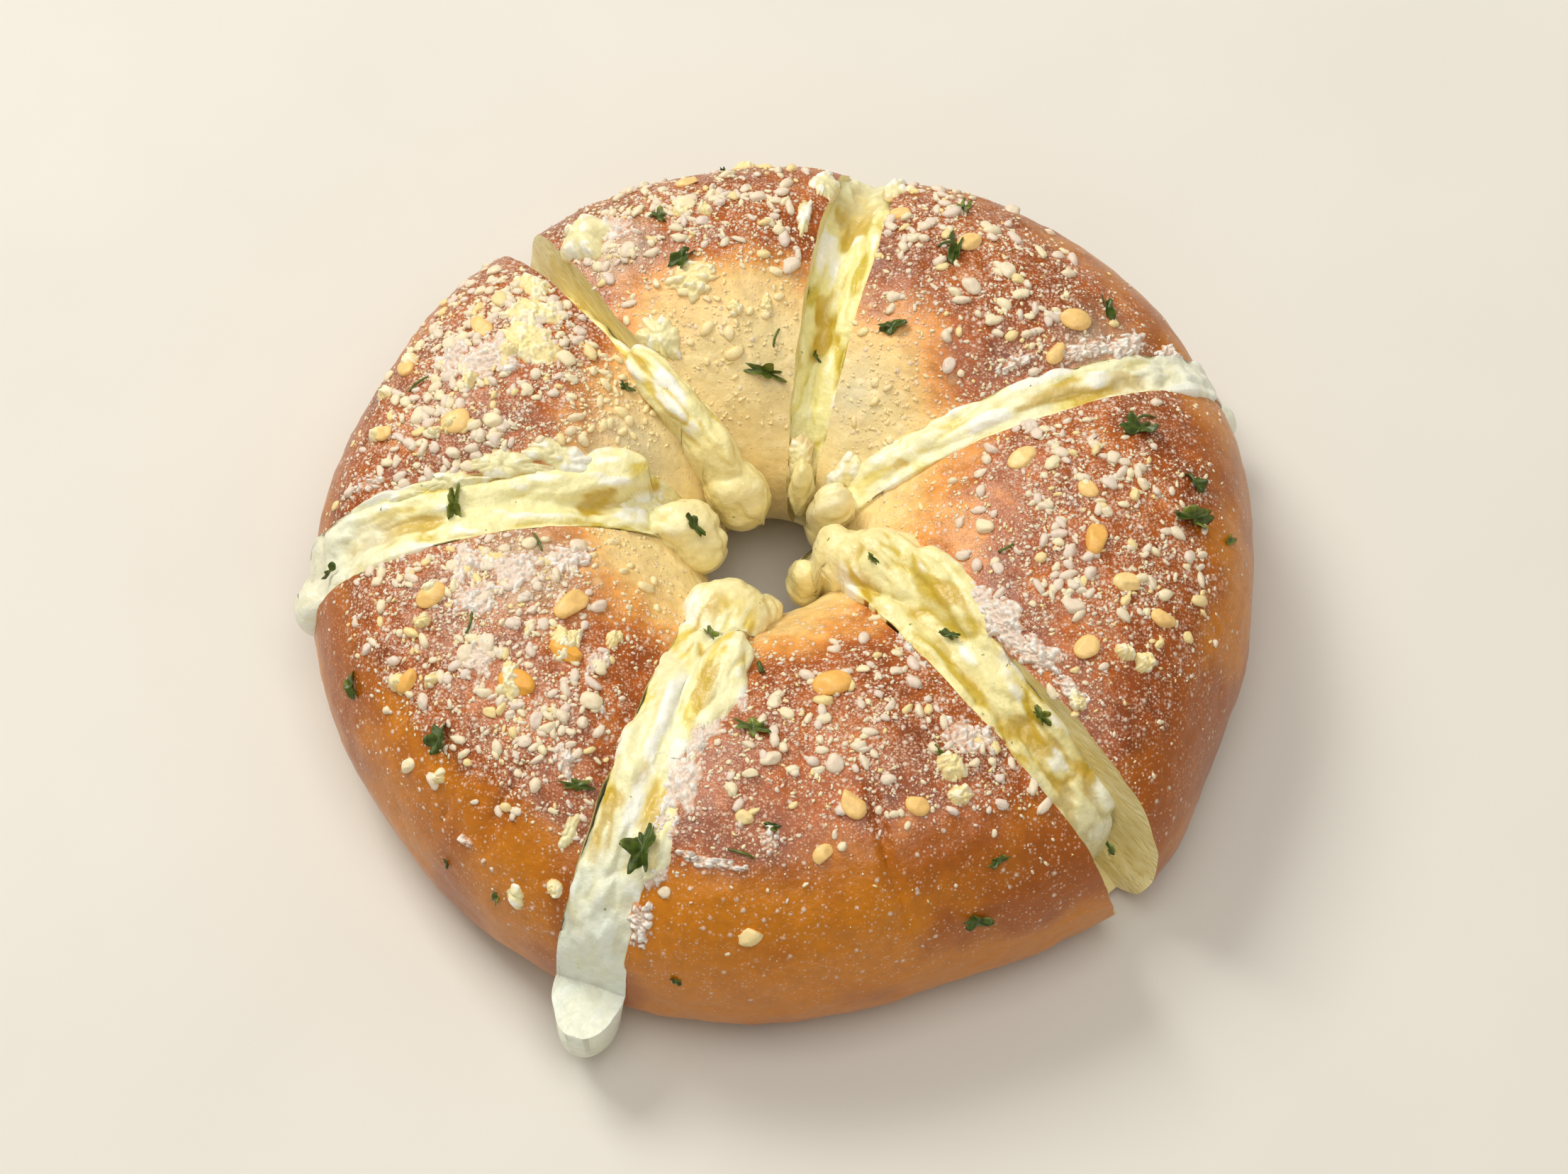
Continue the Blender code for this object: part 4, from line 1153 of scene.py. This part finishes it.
# %% Lumps and copies
def unit_lump(rows, columns):
    """Ball of radius 1 as rings between two poles, and its triangles."""
    polar, azimuth = np.pi * np.arange(1, rows) / rows, 2 * np.pi * np.arange(columns) / columns
    polar, azimuth = np.meshgrid(polar, azimuth, indexing="ij")
    rings = np.stack([np.sin(polar) * np.cos(azimuth), np.sin(polar) * np.sin(azimuth), np.cos(polar)], -1)
    points = np.concatenate([[(0, 0, 1)], rings.reshape(-1, 3), [(0, 0, -1)]])
    j = np.arange(columns)
    k = (j + 1) % columns
    faces = [np.stack([0 * j, 1 + j, 1 + k], -1)]
    for row in range(rows - 2):
        a, b = 1 + row * columns, 1 + (row + 1) * columns
        faces += [np.stack([a + j, b + j, b + k], -1), np.stack([a + j, b + k, a + k], -1)]
    last = 1 + (rows - 2) * columns
    faces.append(np.stack([last + j, 0 * j + len(points) - 1, last + k], -1))
    return points, np.concatenate(faces)


def chip_kinds(rows, columns, kinds, planes, reach, seed):
    """Angular chips, as a grater leaves: a ball cut flat by planes whose distances lie within reach."""
    points, faces = unit_lump(rows, columns)
    draw = np.random.default_rng(seed)
    shapes = []
    for _ in range(kinds):
        facing = unit(draw.normal(size=(planes, 3)))
        distance = draw.uniform(*reach, planes)
        slope = np.maximum(points @ facing.T, 0.05)
        shape = points * np.minimum(distance / slope, 1.0).min(1)[:, None]
        shape = shape - (shape.max(0) + shape.min(0)) / 2
        shapes.append(shape / np.ptp(shape, axis=0) * 2)
    return np.array(shapes), faces


def spun(turns, spins):
    """Turns with a spin about their own up axis."""
    cos, sin, zero, one = np.cos(spins), np.sin(spins), 0 * spins, 1 + 0 * spins
    rows = (cos, -sin, zero), (sin, cos, zero), (zero, zero, one)
    return turns @ np.stack([np.stack(row, -1) for row in rows], -2)


def on_crust(name, points, faces, tones, material, merge=0.0):
    """One mesh of many shapes that lie on the crust: the points of all, the faces of one, and tones."""
    starts = np.arange(len(points)) * points[0, ..., 0].size
    copies = (faces + starts[:, None, None]).reshape(-1, faces.shape[1])
    made = mesh_object(name, points, copies, [material], {"tone": tones.reshape(-1, 4)}, merge)
    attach(made, "root")
    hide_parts("bread")
    print(f"{name}: {len(points)} pieces, {triangle_count(made)} triangles")


def sprinkle(name, kinds, places, sizes, lift, tones, material, seed):
    """Copies on the crust: places are degrees and shares, sizes three half lengths of each."""
    shapes, faces = kinds
    point, turns = crust_surface(places[:, 0], places[:, 1])
    draw = np.random.default_rng(seed)
    turns = spun(turns, draw.uniform(0, 2 * np.pi, len(places)))
    local = shapes[np.arange(len(places)) % len(shapes)] * sizes[:, None]
    points = np.einsum("nij,npj->npi", turns, local)
    points = points + (point + turns[..., 2] * (sizes[:, 2] * lift)[:, None])[:, None]
    on_crust(name, points, faces, np.repeat(tones, shapes.shape[1], 0), material)


# %% Cheese, garlic and leaf materials
def sprinkle_material(name, rough, grain_mm, depth_mm, contrast, **values):
    """Material whose colour comes from each bit's own tone, mottled and bumped at one grain size."""
    made, tree, shader = new_material(name, Roughness=rough, **values)
    grain = clouds(tree, add(tree, "ShaderNodeTexCoord").outputs["Object"], grain_mm, 3.0)
    shade = ranged(tree, grain, 0.3, 0.7, 1 - contrast, 1 + contrast)
    colour = vector_maths(tree, "MULTIPLY", painted(tree, "tone", "Color"), shade)
    tree.links.new(colour, shader.inputs["Base Color"])
    emboss(tree, shader, grain, strength=0.6, depth_mm=depth_mm)
    return made


# Grated hard cheese is waxy and breaks with a dull, grainy face; garlic fries to a tan glassy skin;
# a wet leaf has a waxy gloss over dark green.
cheese_material = sprinkle_material(
    "grated_hard_cheese", rough=0.55, grain_mm=0.5, depth_mm=0.12, contrast=0.06, IOR=1.46,
    Subsurface_Weight=0.1, Subsurface_Scale=0.8 * MM,
)
garlic_material = sprinkle_material(
    "fried_garlic", rough=0.4, grain_mm=0.8, depth_mm=0.15, contrast=0.10, IOR=1.47,
)
leaf_material = sprinkle_material(
    "wet_parsley_leaf", rough=0.32, grain_mm=0.7, depth_mm=0.15, contrast=0.45, IOR=1.45,
)


# %% Large cheese and garlic
CHEESE_CODES, GARLIC_CODES = ("#E6D3C2", "#F2E3BA"), ("#F8D690", "#EDA93E")
BUTTERED_CODE, SOAKED_CODE = "#F3D990", "#F8E2A8"
BUTTERED_SHARE = 0.12


def cheese_tones(draw, count):
    """One colour for each grain: from a dry rosy white to cream, and one in eight yellow with butter."""
    tones = mixed(*CHEESE_CODES, draw.uniform(0, 1, count) ** 1.3)
    return mixed(tones, BUTTERED_CODE, 0.8 * (draw.uniform(0, 1, count) < BUTTERED_SHARE))


draw = np.random.default_rng(31)
count = len(large_cheese)
flat = np.stack([draw.uniform(1.0, 1.25, count), draw.uniform(0.7, 0.95, count), np.full(count, 0.62)], -1)
grain_kinds = chip_kinds(rows=11, columns=14, kinds=12, planes=9, reach=(0.55, 0.95), seed=201)
sprinkle("cheese_grains", grain_kinds, large_cheese[:, :2], flat * large_cheese[:, 2:], lift=0.2,
         tones=cheese_tones(draw, count), material=cheese_material, seed=32)

garlic = np.array(GARLIC)
count = len(garlic)
flat = np.stack([np.full(count, 1.05), draw.uniform(0.62, 0.85, count), np.full(count, 0.42)], -1)
garlic_kinds = chip_kinds(rows=15, columns=20, kinds=8, planes=6, reach=(0.6, 0.95), seed=211)
sprinkle("garlic_bits", garlic_kinds, garlic[:, :2], flat * garlic[:, 2:] * MM, lift=0.3,
         tones=mixed(*GARLIC_CODES, draw.uniform(0, 1, count)), material=garlic_material, seed=33)


# %% Small grains and powder
def many_places(count, seed, low, high, power):
    """Degrees and shares of many small bits, denser where the toppings lie and where the ring is wide."""
    draw = np.random.default_rng(seed)
    degrees, shares, chance = draw.uniform((0, low, 0), (360, high, 1), (50 * count, 3)).T
    point = smooth_top(degrees, shares)
    weight = (topping_weight(degrees, shares) / 3.2) ** power * (0.35 + 0.65 * shares)
    weight = weight * smooth_step(-0.75, 0.5, noise(point, 3.2, seed, 2))
    weight = weight * (1 - 0.85 * smooth_step(-0.03, 0.06, shares - round_curve(degrees, BARE_FROM)))
    chosen = (chance < weight) & clear_of_cream(point[:, :2], np.full(len(degrees), -0.9 * MM))
    return np.stack([degrees[chosen], shares[chosen]], -1)[:count]


def small_bits(name, count, sizes, seed, low, high, power, kinds):
    """Scatters small grains whose half sizes in mm lie between two values, small ones more often."""
    places = many_places(count, seed, low, high, power)
    draw = np.random.default_rng(seed + 1)
    half = sizes[0] + (sizes[1] - sizes[0]) * draw.uniform(0, 1, len(places)) ** 2.2
    shape = np.stack([draw.uniform(0.9, 1.6, len(places)), draw.uniform(0.6, 0.95, len(places)),
                      draw.uniform(0.5, 0.75, len(places))], -1)
    soaked = smooth_step(0.08, -0.12, places[:, 1] - round_curve(places[:, 0], PALE_END))
    tones = mixed(cheese_tones(draw, len(places)), SOAKED_CODE, 0.85 * soaked)
    sprinkle(name, kinds, places, shape * half[:, None] * MM, 0.2, tones, cheese_material, seed + 2)


crumb_kinds = chip_kinds(rows=6, columns=8, kinds=14, planes=8, reach=(0.5, 0.95), seed=221)
powder_kinds = chip_kinds(rows=3, columns=5, kinds=8, planes=6, reach=(0.5, 0.95), seed=231)
small_bits("cheese_crumbs", count=2000, sizes=(0.30, 0.95), seed=301, low=0.16, high=0.95, power=1.2,
           kinds=crumb_kinds)
small_bits("cheese_powder", count=9000, sizes=(0.10, 0.30), seed=311, low=0.12, high=0.97, power=0.7,
           kinds=powder_kinds)


# %% [markdown]
# ## Cream, froth and cheese crusts on the bread
#
# Where the filling boiled over a cut's edge it dried to a thin smear or a white froth, and grated cheese
# that lay in a heap melted to curds. Each is a round patch of grid that follows the crust, raised by
# noise and pressed under the crust at its edge, so its outline is as ragged as the noise. Sculpting
# would do as well, but a patch is one row of a table, and the photograph shows nearly eighty of them.

# %% Patches that lie on the crust
# Degrees, share, degrees turned from the rim's direction, half length, half width and thickness in mm
SMEARS = (
    (177.5, 0.15, 0, 5.0, 3.2, 1.0), (41.0, 0.08, 0, 3.4, 2.0, 0.8), (81.0, 0.07, 0, 3.4, 1.8, 0.6),
    (*DAB[:2], 0, 3.7, 3.2, 2.5), (84, 0.83, 0, 4.4, 2.1, 0.8), (86.2, 0.68, 0, 3.4, 1.1, 0.5),
    (74.3, 0.87, 0, 3.6, 1.8, 0.7), (120.5, 0.39, 0, 3.6, 2.2, 1.4), (123.2, 0.42, 0, 1.4, 1.1, 1.3),
    (177.3, 0.74, 5, 2.8, 0.9, 0.8), (169.8, 0.36, 0, 5.4, 2.1, 0.7), (173.0, 0.50, 0, 6.4, 1.9, 0.7),
    (176.2, 0.63, 0, 4.6, 1.4, 0.7), (235, 0.95, 0, 2.0, 1.5, 0.6), (238.8, 0.80, 0, 3.2, 0.9, 0.4),
)
FROTHS = (
    (253.5, 0.30, 0, 4.2, 1.8, 0.7), (254.6, 0.45, 0, 4.6, 2.5, 0.9), (252.9, 0.58, 0, 4.2, 2.7, 0.9),
    (251.6, 0.70, 0, 3.8, 2.1, 0.8), (252.2, 0.80, 0, 3.4, 2.1, 0.8), (251.4, 0.90, 0, 3.2, 1.6, 0.6),
    (259, 0.77, 80, 4.6, 0.9, 0.5), (262, 0.38, 0, 1.7, 1.2, 0.5), (268, 0.72, 0, 2.2, 1.5, 0.4),
    (328, 0.13, 0, 2.8, 1.7, 0.7), (329, 0.25, 0, 4.2, 2.3, 0.9), (327.6, 0.37, 0, 4.2, 2.7, 0.9),
    (327, 0.48, 0, 4.2, 2.9, 1.0), (326, 0.58, 0, 3.4, 2.2, 0.8), (324.8, 0.67, 0, 3.0, 1.2, 0.5),
    (306, 0.61, 50, 4.0, 2.6, 0.5), (307, 0.36, 0, 5.4, 0.9, 0.3), (194, 0.60, 90, 3.4, 2.4, 0.7),
    (198.5, 0.49, 0, 4.6, 3.5, 0.8), (201, 0.36, 0, 3.8, 2.6, 0.6), (201.5, 0.60, 0, 3.4, 2.6, 0.6),
    (211.5, 0.66, 60, 3.8, 2.5, 0.6), (227.5, 0.44, 0, 2.6, 1.8, 0.6), (233.5, 0.67, 30, 2.4, 1.6, 0.6),
    (34, 0.52, 0, 3.8, 1.1, 0.4), (31, 0.68, 0, 4.2, 1.6, 0.6), (29.8, 0.79, 0, 3.8, 1.9, 0.7),
    (28.4, 0.89, 0, 2.8, 1.3, 0.5), (151.5, 0.77, 90, 3.6, 2.6, 0.7), (150, 0.66, 0, 4.6, 3.6, 0.8),
    (174, 0.84, 0, 2.8, 1.5, 0.4), (116.5, 0.76, 0, 3.4, 2.4, 0.5), (226.5, 0.93, 90, 1.7, 1.0, 0.4),
)
CURDS = (
    (147.5, 0.63, 30, 1.6, 1.2, 1.4), (156, 0.68, 90, 1.4, 1.0, 1.2), (137, 0.66, 20, 3.8, 2.8, 0.9),
    (144, 0.60, 0, 4.2, 3.0, 0.9), (133, 0.74, 0, 2.8, 2.1, 0.8), (153, 0.89, 40, 1.5, 1.1, 1.2),
    (158.5, 0.90, 10, 1.3, 1.0, 1.1), (165, 0.67, 60, 1.9, 1.1, 1.2), (167, 0.71, 0, 1.1, 0.9, 1.0),
    (166, 0.86, 0, 1.3, 1.1, 1.1), (196, 0.70, 20, 1.6, 1.2, 1.2), (200, 0.74, 0, 1.4, 1.1, 1.1),
    (218, 0.63, 30, 2.5, 1.8, 1.4), (208.5, 0.78, 0, 1.2, 1.0, 1.1), (205, 0.85, 0, 1.4, 1.2, 1.2),
    (219.5, 0.46, 0, 2.7, 2.0, 1.1), (226, 0.36, 0, 1.6, 1.1, 0.9), (239.5, 0.90, 0, 1.3, 1.1, 1.0),
    (219, 0.88, 0, 1.2, 1.0, 1.0), (108.5, 0.50, 90, 4.4, 2.7, 0.7), (101, 0.40, 0, 1.5, 1.1, 0.9),
    (93, 0.41, 0, 1.3, 0.9, 0.8), (102.5, 0.72, 0, 1.3, 1.0, 1.0), (106.5, 0.73, 50, 1.3, 1.0, 0.9),
    (95.5, 0.93, 80, 1.9, 1.2, 1.0), (300, 0.66, 0, 2.0, 1.7, 1.4), (299, 0.73, 90, 1.7, 1.3, 0.9),
    (324, 0.70, 0, 1.5, 1.2, 1.1), (335, 0.75, 0, 1.5, 1.2, 1.2), (335.6, 0.80, 40, 1.6, 1.3, 1.2),
)
# Rings over a patch and under it, and how far its underside lies below the crust in mm
PATCH_RINGS = 26
UNDER_RINGS = 5
PATCH_COLUMNS = 80
PATCH_FOOT = 0.45
# How patches of one kind look: share of the thickness that is solid, billows' width and height in mm, and
# the colours of low, middle and high parts
Patch = namedtuple("Patch", "body size lift low middle high")
SMEAR_LOOK = Patch(1.0, 2.4, 0.30, "#E9CF94", "#F4EAB4", "#FBF8E6")
FROTH_LOOK = Patch(0.72, 0.9, 0.36, "#C88A5E", "#E4D0BE", "#F0EADF")
CURD_LOOK = Patch(1.0, 1.2, 0.30, "#E0B672", "#F3E1A4", "#F9F1CE")


def disc(over, under, columns):
    """Radii from the middle to 1 over a disc and back under it, and the angles round it."""
    radial = np.concatenate([np.linspace(0, 1, over), np.linspace(1, 0, under)])
    return radial[:, None], np.linspace(0, 2 * np.pi, columns, endpoint=False)[None]


def edge_noise(angle, height, size, seed, octaves):
    """Noise round a circle with a radius of 1 mm, at a height in mm."""
    circle = np.stack([np.cos(angle), np.sin(angle), 0 * angle + height], -1) * MM
    return noise(circle, size, seed, octaves)


def patch_on_crust(row, look, seed):
    """Points and tones of one patch: rings outwards over the top, then back inwards under the crust."""
    middle_degrees, middle_share, turned, half_long, half_wide, thick = row
    radial, angle = disc(PATCH_RINGS, UNDER_RINGS, PATCH_COLUMNS)
    on_top = np.arange(len(radial))[:, None] < PATCH_RINGS
    ragged = np.clip(0.10 + 0.08 * half_long, 0, 0.42)
    outline = radial * (1 + ragged * edge_noise(angle, seed, 0.7, seed, 4))
    long_way, wide_way = half_long * outline * np.cos(angle), half_wide * outline * np.sin(angle)
    cos, sin = np.cos(np.radians(turned)), np.sin(np.radians(turned))
    outwards, onwards = long_way * cos - wide_way * sin, long_way * sin + wide_way * cos
    here = smooth_top(np.array(middle_degrees), middle_share)
    per_share = np.linalg.norm(smooth_top(np.array(middle_degrees), middle_share + 0.01) - here) * 100 / MM
    per_degree = np.linalg.norm(smooth_top(np.array(middle_degrees + 1.0), middle_share) - here) / MM
    shares = np.clip(middle_share + outwards / per_share, 0.02, 0.99)
    point, turns = crust_surface(middle_degrees + onwards / per_degree, shares)
    billows = 2 * np.abs(noise(point, look.size, seed + 1, 3)) - 0.5
    dome = look.body * thick * np.clip(1 - radial**2, 0, 1) ** 0.7
    height = dome + look.lift * billows - 0.42 * radial**3
    height = np.where(on_top, np.maximum(height, -0.35), -PATCH_FOOT)
    high = smooth_step(0.2, 0.9, billows + 0.3 * noise(point, 2.5, seed + 2))
    tone = mixed(look.low, look.middle, smooth_step(0.02, 0.30, height))
    tone = mixed(tone, look.high, high * (height > 0.1))
    return point + turns[..., 2] * height[..., None] * MM, tone


def patches(name, rows, look, material, seed):
    """All the patches of a kind."""
    made = [patch_on_crust(row, look, seed + 10 * i) for i, row in enumerate(rows)]
    points, tones = (np.array(part) for part in zip(*made))
    on_crust(name, points, grid_faces(*points.shape[1:3]), tones, material, merge=1e-8)


# Froth is dried cream full of tiny bubbles, dull and rosy white where the crust shows through
froth_material = sprinkle_material(
    "dried_cream_froth", rough=0.6, grain_mm=0.4, depth_mm=0.22, contrast=0.10, IOR=1.45,
    Subsurface_Weight=0.1, Subsurface_Scale=0.6 * MM,
)
patches("cream_smears", SMEARS, SMEAR_LOOK, cream_material, 401)
patches("cream_froth", FROTHS, FROTH_LOOK, froth_material, 801)
patches("cheese_curds", CURDS, CURD_LOOK, cheese_material, 1201)

# %% [markdown]
# ## Parsley
#
# Chopped parsley dries in the oven to small curled flakes, dark green with a wet shine. Each flake is
# a disc in polar form: the outline's radius goes up and down with the angle, and the height ripples
# more towards the edge. The upper and lower face share that outline, so a flake is a thin closed solid.

# %% Flakes
LEAF_ROWS = 7
LEAF_COLUMNS = 48
LEAF_HALF_THICK = 0.09


def flake(draw, half):
    """Points in mm of a curled flake that lies along x: toothed outline, rippled height, two faces."""
    radial, angle = disc(LEAF_ROWS, LEAF_ROWS, LEAF_COLUMNS)
    lobes, phase = draw.integers(3, 8), draw.uniform(0, 2 * np.pi)
    outline = 0.55 + 0.45 * np.abs(np.cos(lobes * angle / 2 + phase)) ** 0.6
    outline = outline * (1 + 0.35 * edge_noise(angle, phase, 0.5, 43, 2))
    outline = outline / np.abs(outline * np.cos(angle)).max()
    x = half * radial * outline * np.cos(angle)
    y = half * radial * outline * np.sin(angle) * draw.uniform(0.34, 0.62)
    ripple = 0.20 * np.sin(2 * angle + phase) + 0.12 * np.sin(5 * angle - phase)
    fold = draw.uniform(0.2, 0.8) * np.abs(y) / half
    z = half * (ripple * radial**1.5 + fold)
    face = np.where(np.arange(2 * LEAF_ROWS)[:, None] < LEAF_ROWS, 1.0, -1.0) * LEAF_HALF_THICK
    edge = np.sqrt(np.clip(1.02 - radial**4, 0, 1))
    return np.stack([x, y, z + face * edge + 0 * angle], -1)


def on_cream(cut_number, share, side):
    """Point on a filling's top and its turn, at a share along the cut and mm across it."""
    cut, top = CUTS[cut_number - 1], TOPS[cut_number - 1]
    x = share * cut_line(cut)[3] / MM + np.array((0, 0.3, 0))
    y = side + bow_of(cut, share) + np.array((0, 0, 0.3))
    points = in_cut(cut, x, y, cream_sheets(cut, top, swells_of(cut_number), x, y)[0])
    return points[0], upright(points[1] - points[0], points[2] - points[0])


# More flakes, too small for the solid: degrees, share, half length in mm, degrees turned
SMALL_PARSLEY = (
    (359.5, 0.91, 1.2, 40), (314, 0.93, 1.1, 0), (268.5, 0.69, 1.3, 80), (224.5, 0.98, 0.9, 30),
    (232.5, 0.97, 1.1, 10), (256.5, 0.98, 0.9, 60), (299, 0.62, 1.3, 20), (98.5, 0.93, 1.0, 0),
)
# Flakes on the cream: cut number, share, mm across, half length in mm, degrees turned
CREAM_PARSLEY = (
    (4, 0.61, -1.0, 2.6, 80), (4, 0.93, 2.0, 1.5, 20), (4, 0.03, 3.0, 2.0, 120), (5, 0.19, 0.4, 1.6, 60),
    (5, 0.77, 3.4, 3.6, 5), (6, 0.13, 0.2, 1.1, 0), (6, 0.38, 0.8, 1.5, 30), (6, 0.63, 2.4, 1.8, 10),
    (2, 0.33, 1.2, 1.2, 50),
)
# Dark leaf green, and a paler green that is painted highlight
LEAF_AND_HIGHLIGHT_CODES = ("#46561A", "#9A9C3C")


def all_flakes():
    """Every flake as one mesh, and the tone of its points, with a painted highlight on its curled-up sides.
    """
    draw = np.random.default_rng(41)
    points, tones = [], []
    seats = [(*crust_surface(d, s), half, spin, 0.0) for d, s, half, spin in PARSLEY + SMALL_PARSLEY]
    seats += [(*on_cream(n, s, side), half, spin, 0.35) for n, s, side, half, spin in CREAM_PARSLEY]
    for place, turn, half, spin, above in seats:
        shape = flake(draw, half)
        turn = spun(turn, np.radians(np.array(float(spin))))
        lift = 0.12 + 0.06 * half + above
        points.append(place + (shape + (0, 0, lift)) @ turn.T * MM)
        # Painted highlight: paler towards the curled-up sides, shifted by a random tone for each flake
        highlight_and_tone = smooth_step(0.3, 1.2, np.abs(shape[..., 1]) / half + draw.uniform(-0.2, 0.5))
        tones.append(mixed(*LEAF_AND_HIGHLIGHT_CODES, highlight_and_tone))
    return np.array(points), np.array(tones)


flakes, tones = all_flakes()
faces = grid_faces(*flakes.shape[1:3])
on_crust("parsley_flakes", flakes, faces, tones, leaf_material, merge=1e-7)

# %% Stems
# Thin stalks on the crust: first and last degrees and share, and how far the middle bends aside in degrees
STEMS = (
    (13.0, 0.68, 16.5, 0.77, 1.2), (190.5, 0.42, 197.0, 0.41, -0.6), (203.0, 0.62, 206.0, 0.66, 0.8),
    (276.0, 0.30, 279.5, 0.33, 1.0), (62.0, 0.66, 58.0, 0.70, 1.0), (343.0, 0.40, 346.5, 0.43, -0.8),
    (92.0, 0.30, 90.0, 0.35, 0.6), (262.0, 0.74, 266.0, 0.76, 0.7), (156.0, 0.80, 159.0, 0.83, 0.5),
)
STEM_HALF = 0.17
STEM_RINGS = 22
STEM_SIDES = 8
STEM_CODE = "#5A6A24"


def stem(start_degrees, start_share, end_degrees, end_share, bend):
    """Tube that hugs the crust from one place to another and tapers to both ends."""
    along = np.linspace(0, 1, STEM_RINGS)[:, None]
    round_it = np.linspace(0, 2 * np.pi, STEM_SIDES, endpoint=False)[None]
    degrees = start_degrees + (end_degrees - start_degrees) * along + bend * np.sin(np.pi * along)
    place, turns = crust_surface(degrees, start_share + (end_share - start_share) * along)
    half = STEM_HALF * np.sqrt(np.clip(1 - (2 * along - 1) ** 6, 0, 1)) * MM
    forwards = np.gradient(place[:, 0], axis=0)[:, None]
    aside = unit(np.cross(turns[..., 2], forwards))
    lift = (STEM_HALF + 0.35 * np.sin(np.pi * along) ** 2) * MM
    ring = np.cos(round_it)[..., None] * aside + np.sin(round_it)[..., None] * turns[..., 2]
    return place + turns[..., 2] * lift[..., None] + ring * half[..., None]


stems = np.array([stem(*row) for row in STEMS])
tones = np.broadcast_to(linear(STEM_CODE), (*stems.shape[:3], 4))
on_crust("parsley_stems", stems, grid_faces(STEM_RINGS, STEM_SIDES), tones, leaf_material, merge=1e-8)
